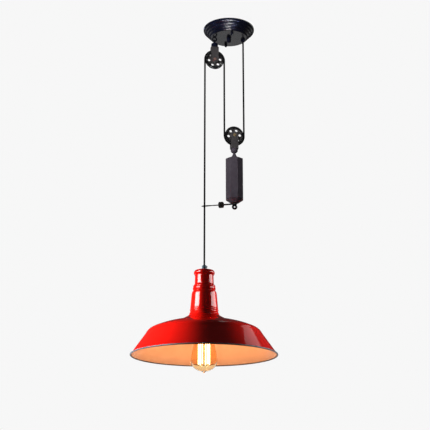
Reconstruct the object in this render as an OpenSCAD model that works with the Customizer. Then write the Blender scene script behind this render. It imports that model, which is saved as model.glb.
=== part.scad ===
// Rise and fall pendant: a lamp and a counterweight on one loop of flex over two pulleys.
// Origin: centre of the ceiling rose, on the ceiling plane. +Z is up, so everything hangs below zero.
// The cord lies in the XZ plane: lamp at the far -X end, weight and fixed cord end on the +X side.

/* [Cord loop] */
// Diameter of the round flex
cord_d = 4.5; // [3:0.5:5]
// Drop from the upper axle to the lower axle at rest
loop_drop = 212; // [195:1:240]
// Drop from the ceiling to the top of the lamp's cord grip
lamp_drop = 659; // [650:5:900]
// Gap between the cord and a wheel's groove
groove_gap = 0.3; // [0.25:0.05:0.5]

/* [Ceiling rose] */
// Outer diameter of the rose where it meets the ceiling
canopy_d = 136; // [132:2:160]
// Height of the rose
canopy_h = 26; // [25:1:36]
// Metal thickness of the rose
canopy_wall = 1.2; // [0.8:0.1:1.6]
// Height of the straight edge at the ceiling
canopy_lip = 3; // [2:0.5:5]
// Number of pressed ribs between the edge and the flat face
canopy_ribs = 4; // [3:1:6]
// How far each rib stands out
rib_rise = 1.4; // [0.8:0.1:2]
// Margin of flat face outside the cord grip and the hook
face_margin = 7; // [6.5:0.5:8]

/* [Mounting bar] */
// Length of the ceiling bar
bar_l = 116; // [108:2:118]
// Width of the ceiling bar
bar_w = 20; // [16:1:22]
// Thickness of the ceiling bar
bar_t = 2; // [1.5:0.5:3]
// Distance between the two ceiling screw slots
screw_spacing = 92; // [90:1:94]
// Length of a ceiling screw slot
slot_l = 14; // [10:1:14]
// Width of a ceiling screw slot
slot_w = 5; // [4:0.5:6]
// Distance between the two studs that hold the rose
stud_spacing = 70; // [60:1:70]
// Diameter of these studs
stud_d = 4; // [3:0.5:5]
// Diameter of the centre stud
centre_stud_d = 6; // [5:1:8]
// Across flats of a cap nut
cap_nut_af = 7; // [7:0.5:10]
// Height of a cap nut
cap_nut_h = 9; // [8:0.5:12]
// Diameter of the centre finial nut
finial_d = 12; // [10:0.5:14]
// Height of the centre finial nut
finial_h = 13; // [11:0.5:16]

/* [Terminal block] */
// Width of the terminal block, across the bar
block_w = 14; // [12:1:14]
// Length of the terminal block, along the bar
block_l = 27; // [24:1:33]
// Height of the terminal block
block_h = 16; // [15:0.5:18]
// Number of ways in the terminal block
block_ways = 3; // [2:1:4]

/* [Pulley hook] */
// Wire of the eye under the rose
hook_wire = 3.4; // [2.5:0.1:3.5]
// Mean diameter of that eye
hook_ring_d = 11; // [10:0.5:13]
// Shank of the eye bolts
shank_d = 4; // [3.5:0.1:4.5]
// Wire of the swivel eye on the upper block
eye_wire = 2.4; // [2:0.1:2.6]
// Mean diameter of the swivel eye
eye_ring_d = 7.8; // [7.6:0.1:9]

/* [Cord grips] */
// Diameter of the cord grip under the rose
rose_grip_d = 12; // [9:0.5:12]
// Height of the cord grip under the rose
rose_grip_h = 7; // [6:0.5:12]
// Diameter of the cord grip on the lamp
lamp_grip_d = 12; // [11.5:0.5:14]
// Height of the cord grip on the lamp
lamp_grip_h = 13.5; // [12:0.5:18]

/* [Pulley wheels] */
// Radius of the cord's seat on a wheel
groove_r = 24; // [22:0.5:24.5]
// Height of a wheel's flanges above the cord's seat
flange_h = 1; // [0.5:0.1:2]
// Width of a wheel's rim
wheel_w = 8; // [7:0.5:9]
// Radial width of a wheel's raised ring
ring_w = 5.2; // [4:0.1:5.6]
// Thickness of a wheel's web
web_t = 3; // [2:0.5:5]
// Number of holes in a wheel's web
hole_count = 6; // [3:1:8]
// Diameter of these holes
hole_d = 7.2; // [4:0.1:7.4]
// Diameter of a wheel's hub
hub_d = 21; // [18:0.5:22]
// Width of a wheel's hub
hub_w = 9; // [9:0.5:11]
// Outer diameter of a wheel's bush
bush_d = 8; // [7:0.5:9]
// Diameter of an axle
axle_d = 5; // [4:0.5:6]
// Running gap round an axle
axle_gap = 0.05; // [0.02:0.01:0.08]

/* [Pulley straps] */
// Width of a strap
strap_w = 20; // [16:0.5:20]
// Thickness of a strap
strap_t = 1.6; // [1.2:0.1:2]
// Distance from the axle to the outside of a strap's bend
strap_rise = 38; // [36:0.5:42]
// Outer radius of a strap's bends
strap_bend = 3.5; // [2.5:0.5:5]
// Side play of a hub between its washers
side_play = 0.3; // [0.3:0.05:0.5]
// Thickness of a washer
washer_t = 0.6; // [0.5:0.1:1]
// Diameter of a washer
washer_d = 10; // [8:0.5:12]
// Diameter of an axle's riveted heads
axle_head_d = 8.5; // [7:0.5:10]
// Height of an axle's riveted heads
axle_head_h = 1.8; // [1:0.1:2.5]
// Height of the turned cap on a strap
cap_h = 12.5; // [11:0.5:16]
// Diameter of the turned cap at the strap
cap_d = 16; // [13:0.5:16]
// Diameter of the turned cap at its tip
cap_tip_d = 8; // [7:0.5:10]

/* [Counterweight] */
// Diameter of the octagonal weight across its corners
weight_d = 48; // [42:0.5:50]
// Height of the weight's straight sides
weight_h = 109; // [90:1:130]
// Height of the faceted lower end
taper_h = 10; // [8:1:20]
// Diameter of the weight's flat foot across its corners
foot_d = 21; // [18:0.5:28]
// Edge bevel at the top of the weight
weight_bevel = 0.8; // [0.3:0.1:2]
// Height of the flared collar on the weight
collar_h = 15.5; // [10:0.5:16]
// Diameter of the flared collar at the weight
collar_d = 15; // [14:0.5:20]
// Diameter of the stud that hangs the weight
swivel_d = 5; // [4:0.5:6]
// Wire of the bottom eye
foot_wire = 4; // [2.5:0.1:4]
// Mean diameter of the bottom eye
foot_ring_d = 8.2; // [8:0.1:10]

/* [Guide arm] */
// How far the arm droops from level
arm_droop = 8; // [4:0.5:10]
// Outer diameter of the arm's tube
tube_d = 4; // [3.8:0.1:5]
// Length of the arm's tube from the weight's axis
tube_l = 38; // [34:1:44]
// Diameter of the sliding rod
rod_d = 2.8; // [2:0.1:3]
// Depth to which the rod sits in the tube
rod_in = 22; // [15:1:26]
// Running gap in the arm
arm_gap = 0.05; // [0.03:0.01:0.08]
// Diameter of the knurled lock collar
lock_d = 16; // [12:0.5:18]
// Length of the knurled lock collar
lock_l = 12.5; // [10:0.5:16]
// Number of knurl teeth
knurl_count = 28; // [20:1:40]
// Depth of the knurl
knurl_h = 0.6; // [0.3:0.1:1]
// Wire of the guide eye round the cord
guide_wire = 1.8; // [1.4:0.1:2.2]
// Free space between the cord and the guide eye
guide_gap = 1.5; // [1.2:0.1:2.5]

/* [Neck] */
// Height of the neck
neck_h = 105.5; // [95:0.5:130]
// Metal thickness of the neck
neck_wall = 1.2; // [0.8:0.1:1.6]
// Radius of the neck's top bead
top_bead_r = 26; // [24.5:0.1:27]
// Radius of the neck's waist
waist_r = 23.5; // [20:0.5:24]
// Radius of the neck's second bead
second_bead_r = 28.6; // [27:0.1:30]
// Radius of the neck's shoulder
neck_shoulder_r = 31.5; // [30:0.5:33]
// Radius of the neck where it sits on the shade
neck_base_r = 34.6; // [34:0.1:38]

/* [Shade] */
// Outer diameter of the shade's rolled rim
shade_d = 360; // [330:5:400]
// Height of the shade from its collar to the rim's centre
shade_h = 106; // [96:1:130]
// Metal thickness of the shade
shade_wall = 1.2; // [0.8:0.1:1.6]
// Wire of the rolled rim
rim_d = 3.8; // [3:0.1:5]
// Radius at which the flare turns into the dome
flare_r = 74; // [60:1:80]
// Depth of the dome's start under the collar
flare_drop = 25; // [22:0.5:30]
// Radius at which the dome meets the shoulder
dome_r = 128; // [118:1:134]
// Depth of the shoulder's start under the collar
dome_drop = 41.5; // [38:0.5:46]
// Depth over which the shoulder turns
shoulder_drop = 14; // [10:0.5:18]
// Radial width over which the shoulder turns
shoulder_w = 14.5; // [10:0.5:18]

/* [Lampholder] */
// Radius of the lampholder's threaded skirt
skirt_r = 19.4; // [18.5:0.1:19.6]
// Depth of the skirt below the shade's collar
skirt_h = 33; // [30:0.5:36]
// Radius of the lampholder's shoulder
holder_r = 23; // [22:0.5:25]
// Clearance of the shade's hole round the skirt
skirt_gap = 0.85; // [0.5:0.05:1.2]
// Inner radius of the screw shell
shell_r = 13.6; // [13.5:0.05:13.8]
// Thickness of the screw shell
shell_t = 1; // [0.6:0.1:1.2]
// Outer radius of the threaded nipple
nipple_r = 5; // [4.5:0.1:5]
// Bore radius of the threaded nipple
nipple_bore_r = 3.4; // [3:0.1:3.6]
// Outer radius of the shade ring
shade_ring_r = 28; // [25:0.5:30]

/* [Bulb] */
// Largest diameter of the bulb
bulb_d = 64; // [60:1:66]
// Length of the bulb from its contact to its pip
bulb_l = 142; // [138:1:150]
// Outer radius of the bulb's screw cap
bulb_cap_r = 13.2; // [13.0:0.05:13.25]
// Thickness of the glass
glass_t = 0.8; // [0.6:0.1:1.2]
// Number of filament sticks
stick_count = 6; // [4:1:8]
// Diameter of a filament stick
stick_d = 2.6; // [2:0.1:3]
// Radius of the circle of sticks
stick_circle_r = 13.5; // [10:0.5:16]
// Length of a filament stick
stick_l = 58; // [50:1:62]

/* [Hidden] */
$fn = 64;

// A small overlap that lets cutters pass through a face
cut = 1;
cord_r = cord_d / 2;

// Places of the cord loop, one wheel radius apart
pitch_r = groove_r + cord_r;
x_lamp = -2.5 * pitch_r;
x_upper = -1.5 * pitch_r;
x_between = -0.5 * pitch_r;
x_lower = 0.5 * pitch_r;
x_rose = 1.5 * pitch_r;

// Ceiling rose
canopy_r = canopy_d / 2;
face_r = x_rose + face_margin;
z_face = -canopy_h;
z_floor = z_face + canopy_wall;
rib_points = 6;
hole_ease = 0.2;
thin_nut_h = 3.2;
stud_r = stud_d / 2;
flat_share_6 = cos(30);
centre_stud_r = centre_stud_d / 2;
// Share of a cap nut or finial that the stud fills
thread_share = 0.6;
grip_stem_r = cord_r + 1.2;
grip_stem_h = canopy_wall + thin_nut_h + 0.6;
// Cord and terminal block inside the rose
block_x = x_rose - 2 * cord_d - block_w - 1;
tail_bend = 7;
z_tail = z_floor + block_h - 4.2;

// Hook, swivel eye and upper block, each hung from the one above
shank_r = shank_d / 2;
hook_wire_r = hook_wire / 2;
eye_wire_r = eye_wire / 2;
flange_t = 0.8;
ring_sink = 1;
link_gap = 0.1;
hook_ring_r = hook_ring_d / 2;
eye_ring_r = eye_ring_d / 2;
z_hook = z_face - flange_t - hook_ring_r - hook_wire_r + ring_sink;
z_eye = z_hook - hook_ring_r + hook_wire_r + eye_wire_r + link_gap - eye_ring_r;
z_cap_tip = z_eye - eye_ring_r - eye_wire_r + ring_sink;
z_upper_strap = z_cap_tip - cap_h;
z_upper = z_upper_strap - strap_rise;
z_lower = z_upper - loop_drop;
z_lower_strap = z_lower - strap_rise;
rivet_h = 1.4;
rivet_d = 7;
swivel_head_d = 9;
swivel_head_h = 2;

// Pulley blocks
flange_r = groove_r + flange_h;
web_r = flange_r - ring_w;
web_hole_r = (hub_d / 2 + web_r) / 2;
hub_step = 0.6;
strap_gap = hub_w + 2 * washer_t + 2 * side_play;
strap_out = strap_gap / 2 + strap_t;
axle_r = axle_d / 2;
cap_foot_h = 2;

// Counterweight
z_weight_top = z_lower_strap - cap_h - collar_h;
z_weight_foot = z_weight_top - weight_h - taper_h;
weight_sides = 8;
flat_share = cos(180 / weight_sides);
swivel_in = 15;
shank_in = 12;
eyelet_t = tube_d + 0.2;
eyelet_d = 12;
foot_flange_d = 7;
z_arm = z_weight_foot - eyelet_t / 2;
foot_ring_r = foot_ring_d / 2;
z_foot_ring = z_weight_foot - eyelet_t - flange_t - foot_ring_r - foot_wire / 2 + ring_sink;

// Guide arm, measured along the arm from the weight's axis
s_cord = (x_lower - x_lamp) / cos(arm_droop);
guide_r = cord_r + guide_gap + guide_wire / 2;
s_guide_centre = s_cord + guide_wire / 2;
s_guide_back = s_guide_centre - 5.5 * guide_r;
guide_tail = 3;
// How far the rod runs into the fork of the guide eye
guide_sink = 3;
s_rod_in = tube_l - rod_in;
s_lock = tube_l - 0.68 * lock_l;
lock_bevel = 1.2;

// Lamp
z_neck = -lamp_drop - lamp_grip_h;
z_collar = z_neck - neck_h;
grip_thread_h = 6;
nipple_ease = 0.2;
curve_points = 6;
rim_r = rim_d / 2;
rim_steps = 18;
shade_r = shade_d / 2;
plate_nut_h = 3;
lock_nut_af = 14;
cap_collar_h = 10;
cap_dome_h = 10;
holder_step_h = 5;
holder_top_h = 14;
insert_top = 8;
insert_low = -5.5;
contact_t = 1.2;
// Gap between the holder's contact tongue and the bulb's contact
contact_gap = 0.3;
bulb_top = insert_low - contact_t - contact_gap;
bulb_r = bulb_d / 2;
screw_pitch = 3.6;
screw_turns = 5;
screw_depth = 0.8;
cap_wall = 0.4;
// Room for the cement between the glass and its cap
cement_gap = 0.05;
neck_glass_r = bulb_cap_r - screw_depth - cap_wall - cement_gap;
glass_top = -17;
stick_low = 21;
stick_top = -bulb_l + stick_low + stick_l;
// Room between the glass stem and the sticks
stem_gap = 10;
stem_h = glass_top - stick_top - stem_gap;

// A row of points bowed out by s from the chord a-b, leaving out b
function bow(a, b, s, n = curve_points) =
  let (d = (b - a) / norm(b - a), out = [-d[1], d[0]])
  [for (i = [0:n - 1]) let (t = i / n) a + (b - a) * t + out * s * 4 * t * (1 - t)];

// The outline of a sheet of thickness t, whose outer side is the open line p
function run_dir(p, i) =
  let (a = p[max(i - 1, 0)], b = p[min(i + 1, len(p) - 1)]) (b - a) / norm(b - a);
function inner_point(p, i, t) =
  let (d = run_dir(p, i), q = p[i] + t * [d[1], -d[0]]) [max(q[0], 0), q[1]];
function sheet(p, t) = concat(p, [for (i = [len(p) - 1:-1:0]) inner_point(p, i, t)]);

module tube(r_out, r_in, h) {
  difference() {
    cylinder(r = r_out, h = h);
    translate([0, 0, -cut]) cylinder(r = r_in, h = h + 2 * cut);
  }
}

module ring(r, wire_r) {
  rotate([90, 0, 0])
    rotate_extrude()
      translate([r, 0]) circle(r = wire_r);
}

module hex_nut(af, h, bore_r) {
  difference() {
    cylinder(d = af / cos(30), h = h, $fn = 6);
    translate([0, 0, -cut]) cylinder(r = bore_r, h = h + 2 * cut);
  }
}

// ---- Ceiling rose ----

module mounting_bar() {
  color("silver")
    difference() {
      translate([-bar_w / 2, -bar_l / 2, -bar_t]) cube([bar_w, bar_l, bar_t]);
      for (s = [-1, 1]) {
        translate([0, s * screw_spacing / 2, -bar_t - cut])
          linear_extrude(bar_t + 2 * cut) slot();
        translate([0, s * stud_spacing / 2, -bar_t - cut])
          cylinder(r = stud_r, h = bar_t + 2 * cut);
      }
      translate([0, 0, -bar_t - cut]) cylinder(r = centre_stud_r, h = bar_t + 2 * cut);
    }
}

// A screw slot along Y with round ends
module slot() {
  straight = slot_l - slot_w;
  square([slot_w, straight], center = true);
  for (s = [-1, 1]) translate([0, s * straight / 2]) circle(d = slot_w);
}

module bar_studs() {
  low = z_face - thread_share * cap_nut_h;
  color("silver")
    for (s = [-1, 1])
      translate([0, s * stud_spacing / 2, low]) cylinder(r = stud_r, h = -low);
}

module centre_stud() {
  low = z_face - thread_share * finial_h;
  color("silver") translate([0, 0, low]) cylinder(r = centre_stud_r, h = -low);
}

module centre_stud_nut() {
  nut_h = 0.8 * centre_stud_d;
  color("silver")
    translate([0, 0, -bar_t - nut_h]) hex_nut(1.66 * centre_stud_d, nut_h, centre_stud_r);
}

// The ribs in order from the edge to the face
function rib_line() =
  let (a = [canopy_r, -canopy_lip], b = [face_r, z_face], step = (b - a) / canopy_ribs)
  [for (i = [0:canopy_ribs - 1]) each bow(a + step * i, a + step * (i + 1), rib_rise, rib_points)];

module rose_cover() {
  line = concat([[canopy_r, 0]], rib_line(), [[face_r, z_face], [0, z_face]]);
  color("dimgray")
    difference() {
      rotate_extrude($fn = 96) polygon(sheet(line, canopy_wall));
      for (s = [-1, 1])
        translate([0, s * stud_spacing / 2, z_face - cut])
          cylinder(r = stud_r + hole_ease, h = canopy_wall + 2 * cut);
      translate([0, 0, z_face - cut])
        cylinder(r = centre_stud_r + hole_ease, h = canopy_wall + 2 * cut);
      translate([x_upper, 0, z_face - cut])
        cylinder(r = shank_r + hole_ease, h = canopy_wall + 2 * cut);
      translate([x_rose, 0, z_face - cut])
        cylinder(r = grip_stem_r + hole_ease, h = canopy_wall + 2 * cut);
    }
}

// Domed nut with a blind bore, hanging from z = 0
module domed_nut(r_hex, h, bore_r) {
  r_flat = r_hex * flat_share_6;
  hex_h = h - r_flat;
  difference() {
    union() {
      translate([0, 0, -hex_h]) cylinder(r = r_hex, h = hex_h, $fn = 6);
      translate([0, 0, -hex_h])
        rotate_extrude()
          intersection() {
            circle(r = r_flat);
            translate([0, -h]) square([r_hex, h]);
          }
    }
    translate([0, 0, -thread_share * h]) cylinder(r = bore_r, h = h);
  }
}

module cap_nuts() {
  color("dimgray")
    for (s = [-1, 1])
      translate([0, s * stud_spacing / 2, z_face])
        domed_nut(cap_nut_af / 2 / flat_share_6, cap_nut_h, stud_r);
}

module centre_finial() {
  r = finial_d / 2;
  color("dimgray")
    translate([0, 0, z_face])
      difference() {
        rotate_extrude()
          difference() {
            union() {
              translate([0, r - finial_h]) circle(r = r);
              translate([0, r - finial_h]) square([r, finial_h - r]);
            }
            translate([-2 * r, -2 * finial_h]) square([2 * r, 4 * finial_h]);
            translate([r, -0.3 * finial_h]) circle(r = 0.12 * r);
          }
        translate([0, 0, -thread_share * finial_h])
          cylinder(r = centre_stud_r, h = finial_h);
      }
}

module pulley_hook() {
  color("gray")
    translate([x_upper, 0, 0]) {
      translate([0, 0, z_hook]) ring(hook_ring_r, hook_wire_r);
      difference() {
        translate([0, 0, z_face - flange_t]) cylinder(r = 2 * shank_r, h = flange_t);
        translate([0, 0, z_hook]) ring(hook_ring_r, hook_wire_r);
      }
      translate([0, 0, z_face - flange_t / 2])
        cylinder(r = shank_r, h = canopy_wall + thin_nut_h + 1 + flange_t / 2);
    }
}

module hook_nut() {
  color("silver")
    translate([x_upper, 0, z_floor]) hex_nut(1.75 * shank_d, thin_nut_h, shank_r);
}

module rose_cord_grip() {
  r = rose_grip_d / 2;
  color("dimgray")
    translate([x_rose, 0, z_face])
      rotate_extrude()
        polygon([
          [cord_r, grip_stem_h], [grip_stem_r, grip_stem_h], [grip_stem_r, 0], [r, 0],
          each bow([r, -0.45 * rose_grip_h], [cord_r, -rose_grip_h], 0.8), [cord_r, -rose_grip_h]
        ]);
}

module grip_nut() {
  color("silver")
    translate([x_rose, 0, z_floor]) hex_nut(2 * grip_stem_r + 2.2, thin_nut_h, grip_stem_r);
}

module terminal_block() {
  way = block_l / block_ways;
  color("ivory")
    translate([block_x, -block_l / 2, z_floor])
      difference() {
        union() {
          cube([block_w, block_l, block_h - 3]);
          for (i = [0:block_ways - 1])
            translate([1, i * way + 0.8, 0]) cube([block_w - 2, way - 1.6, block_h]);
        }
        for (i = [0:block_ways - 1])
          translate([block_w / 2, (i + 0.5) * way, block_h - 4]) cylinder(r = 2, h = 5);
      }
}

module terminal_screws() {
  way = block_l / block_ways;
  color("goldenrod")
    for (i = [0:block_ways - 1])
      translate([block_x + block_w / 2, -block_l / 2 + (i + 0.5) * way, z_floor + block_h - 4])
        difference() {
          cylinder(r = 2, h = 3);
          translate([-3, -0.4, 2.2]) cube([6, 0.8, 2]);
        }
}

module cord_in_rose() {
  z_low = z_face - rose_grip_h;
  color("dimgray") {
    translate([x_rose, 0, z_low]) cylinder(r = cord_r, h = z_tail - tail_bend - z_low);
    translate([x_rose - tail_bend, 0, z_tail - tail_bend])
      rotate([90, 0, 0])
        rotate_extrude(angle = 90) translate([tail_bend, 0]) circle(r = cord_r);
    translate([block_x + block_w, 0, z_tail])
      rotate([0, 90, 0])
        cylinder(r = cord_r, h = x_rose - tail_bend - block_x - block_w);
  }
}

// ---- Pulley blocks, drawn hanging from the outside of the strap's bend at z = 0 ----

// Section of the strap across the wheel
module strap_section(leg) {
  half = strap_out;
  bend_in = strap_bend - strap_t;
  difference() {
    union() {
      translate([-half, -leg]) square([2 * half, leg - strap_bend]);
      translate([-half + strap_bend, -strap_bend]) square([2 * (half - strap_bend), strap_bend]);
      for (s = [-1, 1]) translate([s * (half - strap_bend), -strap_bend]) circle(r = strap_bend);
    }
    translate([-strap_gap / 2, -leg - cut]) square([strap_gap, leg - strap_bend + cut]);
    translate([-half + strap_bend, -strap_bend - cut])
      square([2 * (half - strap_bend), bend_in + cut]);
    for (s = [-1, 1]) translate([s * (half - strap_bend), -strap_bend]) circle(r = bend_in);
  }
}

// Front outline of the strap, round at the axle
module strap_front() {
  translate([-strap_w / 2, -strap_rise]) square([strap_w, strap_rise]);
  translate([0, -strap_rise]) circle(d = strap_w);
}

module strap(hole_r) {
  leg = strap_rise + strap_w / 2;
  difference() {
    intersection() {
      translate([-strap_w / 2, 0, 0])
        rotate([90, 0, 90]) linear_extrude(strap_w) strap_section(leg);
      translate([0, strap_out + cut, 0])
        rotate([90, 0, 0]) linear_extrude(2 * (strap_out + cut)) strap_front();
    }
    translate([0, 0, -strap_t - cut]) cylinder(r = hole_r, h = strap_t + 2 * cut);
    translate([0, strap_out + cut, -strap_rise])
      rotate([90, 0, 0]) cylinder(r = axle_r, h = 2 * (strap_out + cut));
  }
}

module turned_cap(bore_r) {
  rotate_extrude()
    polygon([
      [bore_r, 0], [cap_d / 2, 0], [cap_d / 2, cap_foot_h],
      each bow([cap_d / 2, cap_foot_h], [cap_tip_d / 2, cap_h], -0.9),
      [cap_tip_d / 2, cap_h], [bore_r, cap_h]
    ]);
}

module axle() {
  head_r = axle_head_d / 2;
  rotate([90, 0, 0]) {
    translate([0, 0, -strap_out]) cylinder(r = axle_r, h = 2 * strap_out);
    for (s = [0, 180])
      rotate([s, 0, 0])
        translate([0, 0, strap_out])
          rotate_extrude()
            polygon([
              [0, 0], each bow([head_r, 0], [0, axle_head_h], -0.25 * axle_head_h),
              [0, axle_head_h]
            ]);
  }
}

module washers() {
  for (s = [0, 180])
    rotate([0, 0, s])
      translate([0, hub_w / 2 + side_play, 0])
        rotate([-90, 0, 0]) tube(washer_d / 2, axle_r, washer_t);
}

// Grooved wheel about the Y axis, lightened by a ring of holes
module wheel() {
  hub_r = hub_d / 2;
  rotate([90, 0, 0])
    difference() {
      rotate_extrude($fn = 96)
        difference() {
          union() {
            translate([bush_d / 2, -hub_w / 2]) square([hub_r - bush_d / 2, hub_w]);
            translate([hub_r - hub_step, -web_t / 2]) square([web_r - hub_r + 2 * hub_step, web_t]);
            rim_section();
          }
          translate([pitch_r, 0]) circle(r = cord_r + groove_gap);
        }
      for (i = [0:hole_count - 1])
        rotate(i * 360 / hole_count + 8)
          translate([web_hole_r, 0, -web_t]) cylinder(d = hole_d, h = 2 * web_t);
    }
}

// Half section of a wheel's rim with eased edges
module rim_section() {
  ease = 0.5;
  half = wheel_w / 2;
  polygon([
    [web_r, -half + ease], [web_r + ease, -half], [flange_r - ease, -half], [flange_r, -half + ease],
    [flange_r, half - ease], [flange_r - ease, half], [web_r + ease, half], [web_r, half - ease]
  ]);
}

module bush() {
  rotate([90, 0, 0])
    translate([0, 0, -hub_w / 2]) tube(bush_d / 2, axle_r + axle_gap, hub_w);
}

module cord_arc() {
  rotate([90, 0, 0])
    rotate_extrude(angle = 180, $fn = 96) translate([pitch_r, 0]) circle(r = cord_r);
}

module at_upper() {
  translate([x_upper, 0, z_upper]) children();
}

module at_lower() {
  translate([x_lower, 0, z_lower]) children();
}

module upper_swivel_eye() {
  low = z_upper_strap - strap_t;
  color("gray")
    translate([x_upper, 0, 0]) {
      translate([0, 0, z_eye]) rotate([0, 0, 90]) ring(eye_ring_r, eye_wire_r);
      difference() {
        translate([0, 0, low - rivet_h / 2])
          cylinder(r = shank_r, h = z_cap_tip - low + rivet_h / 2);
        translate([0, 0, z_eye]) rotate([0, 0, 90]) ring(eye_ring_r, eye_wire_r);
      }
      translate([0, 0, low - rivet_h]) cylinder(d = rivet_d, h = rivet_h);
    }
}

module upper_cap() {
  color("dimgray")
    difference() {
      translate([x_upper, 0, z_upper_strap]) turned_cap(shank_r);
      translate([x_upper, 0, z_eye]) rotate([0, 0, 90]) ring(eye_ring_r, eye_wire_r);
    }
}

module upper_strap() {
  color("dimgray") translate([x_upper, 0, z_upper_strap]) strap(shank_r);
}

module upper_axle() {
  color("peru") at_upper() axle();
}

module upper_washers() {
  color("silver") at_upper() washers();
}

module upper_wheel() {
  color("gray") at_upper() wheel();
}

module upper_bush() {
  color("peru") at_upper() bush();
}

module cord_over_wheel() {
  color("dimgray") at_upper() cord_arc();
}

module lower_strap() {
  color("dimgray")
    translate([x_lower, 0, z_lower_strap]) rotate([180, 0, 0]) strap(swivel_d / 2);
}

module lower_axle() {
  color("goldenrod") at_lower() axle();
}

module lower_washers() {
  color("silver") at_lower() washers();
}

module lower_wheel() {
  color("gray") at_lower() wheel();
}

module lower_bush() {
  color("peru") at_lower() bush();
}

module cord_under_wheel() {
  color("dimgray") at_lower() rotate([180, 0, 0]) cord_arc();
}

// ---- Counterweight ----

module lower_cap() {
  color("dimgray")
    translate([x_lower, 0, z_lower_strap]) rotate([180, 0, 0]) turned_cap(swivel_d / 2);
}

module swivel_stud() {
  top = z_lower_strap + strap_t;
  low = z_weight_top - swivel_in;
  color("silver")
    translate([x_lower, 0, 0]) {
      translate([0, 0, low]) cylinder(d = swivel_d, h = top - low);
      translate([0, 0, top]) cylinder(d = swivel_head_d, h = swivel_head_h);
    }
}

// Collar with a hollow flare that widens onto the weight
module weight_collar() {
  top_r = cap_tip_d / 2;
  foot_r = collar_d / 2;
  color("dimgray")
    translate([x_lower, 0, z_weight_top])
      rotate_extrude()
        polygon([
          [swivel_d / 2, 0], [foot_r, 0], [foot_r, 1],
          each bow([foot_r, 1], [top_r, collar_h - 2], 1.4),
          [top_r, collar_h - 2], [top_r, collar_h], [swivel_d / 2, collar_h]
        ]);
}

// The octagon is the overlap of four flat-sided slabs with one front outline
module counterweight() {
  flat = weight_d / 2 * flat_share;
  foot_flat = foot_d / 2 * flat_share;
  full_h = weight_h + taper_h;
  color("dimgray")
    translate([x_lower, 0, z_weight_top])
      difference() {
        intersection_for(k = [0:weight_sides / 2 - 1])
          rotate([0, 0, k * 360 / weight_sides])
            translate([0, weight_d, 0])
              rotate([90, 0, 0])
                linear_extrude(2 * weight_d)
                  polygon([
                    [-flat + weight_bevel, 0], [-flat, -weight_bevel], [-flat, -weight_h],
                    [-foot_flat, -full_h], [foot_flat, -full_h], [flat, -weight_h],
                    [flat, -weight_bevel], [flat - weight_bevel, 0]
                  ]);
        translate([0, 0, -swivel_in]) cylinder(d = swivel_d, h = swivel_in + cut);
        translate([0, 0, -full_h - cut]) cylinder(r = shank_r, h = shank_in + cut);
      }
}

module foot_eye_bolt() {
  low = z_weight_foot - eyelet_t;
  color("gray")
    translate([x_lower, 0, 0]) {
      translate([0, 0, low - flange_t / 2])
        cylinder(r = shank_r, h = eyelet_t + shank_in + flange_t / 2);
      difference() {
        translate([0, 0, low - flange_t]) cylinder(d = foot_flange_d, h = flange_t);
        translate([0, 0, z_foot_ring]) ring(foot_ring_r, foot_wire / 2);
      }
      translate([0, 0, z_foot_ring]) ring(foot_ring_r, foot_wire / 2);
    }
}

// Puts +Z along the arm, away from the weight
module along_arm(s = 0) {
  translate([x_lower, 0, z_arm]) rotate([0, 270 - arm_droop, 0]) translate([0, 0, s]) children();
}

module arm_tube() {
  color("gray")
    difference() {
      union() {
        translate([x_lower, 0, z_weight_foot - eyelet_t]) cylinder(d = eyelet_d, h = eyelet_t);
        along_arm(eyelet_d / 4) cylinder(d = tube_d, h = tube_l - eyelet_d / 4);
      }
      translate([x_lower, 0, z_weight_foot - eyelet_t - cut])
        cylinder(r = shank_r, h = eyelet_t + 2 * cut);
      along_arm(eyelet_d / 2 + 2) cylinder(d = rod_d + 2 * arm_gap, h = tube_l);
    }
}

// Outline of the knurl, a tooth and a gap in turn
function knurl_line() = [
  for (i = [0:2 * knurl_count - 1])
    let (a = i * 180 / knurl_count, r = lock_d / 2 - (i % 2) * knurl_h) r * [cos(a), sin(a)]
];

module lock_collar() {
  core_r = lock_d / 2 - knurl_h - 0.2;
  shoulder = tube_l - s_lock + 2 * arm_gap;
  color("gray")
    along_arm(s_lock)
      difference() {
        union() {
          translate([0, 0, lock_bevel]) linear_extrude(lock_l - 2 * lock_bevel) polygon(knurl_line());
          rotate_extrude()
            polygon([
              [0, 0], [core_r - lock_bevel, 0], [core_r, lock_bevel], [core_r, lock_l - lock_bevel],
              [core_r - lock_bevel, lock_l], [0, lock_l]
            ]);
        }
        translate([0, 0, -cut]) cylinder(d = tube_d + 2 * arm_gap, h = shoulder + cut);
        cylinder(d = rod_d + 2 * arm_gap, h = lock_l + cut);
      }
}

// A teardrop of wire: an arc round the cord and two straight sides that meet on the rod
module guide_eye() {
  back_l = s_guide_centre - s_guide_back;
  slant = asin(guide_r / back_l);
  side_l = sqrt(back_l * back_l - guide_r * guide_r);
  color("gray")
    along_arm() {
      translate([0, 0, s_rod_in]) cylinder(d = rod_d, h = s_guide_back + guide_sink - s_rod_in);
      for (s = [-1, 1])
        translate([0, 0, s_guide_back])
          rotate([s * slant, 0, 0]) cylinder(d = 0.95 * guide_wire, h = side_l + 0.4);
      translate([0, 0, s_guide_centre])
        rotate([0, 90, 0])
          rotate([0, 0, 180 - 90 - slant])
            rotate_extrude(angle = 180 + 2 * slant) translate([guide_r, 0]) circle(d = guide_wire);
      translate([0, 0, s_guide_centre + guide_r])
        cylinder(d1 = guide_wire, d2 = guide_wire / 2, h = guide_tail);
    }
}

// ---- Straight runs of the cord ----

module cord_to_lamp() {
  color("dimgray")
    translate([x_lamp, 0, -lamp_drop]) cylinder(r = cord_r, h = z_upper + lamp_drop);
}

module cord_between_wheels() {
  color("dimgray") translate([x_between, 0, z_lower]) cylinder(r = cord_r, h = loop_drop);
}

module cord_to_rose() {
  top = z_face - rose_grip_h;
  color("dimgray") translate([x_rose, 0, z_lower]) cylinder(r = cord_r, h = top - z_lower);
}

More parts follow.
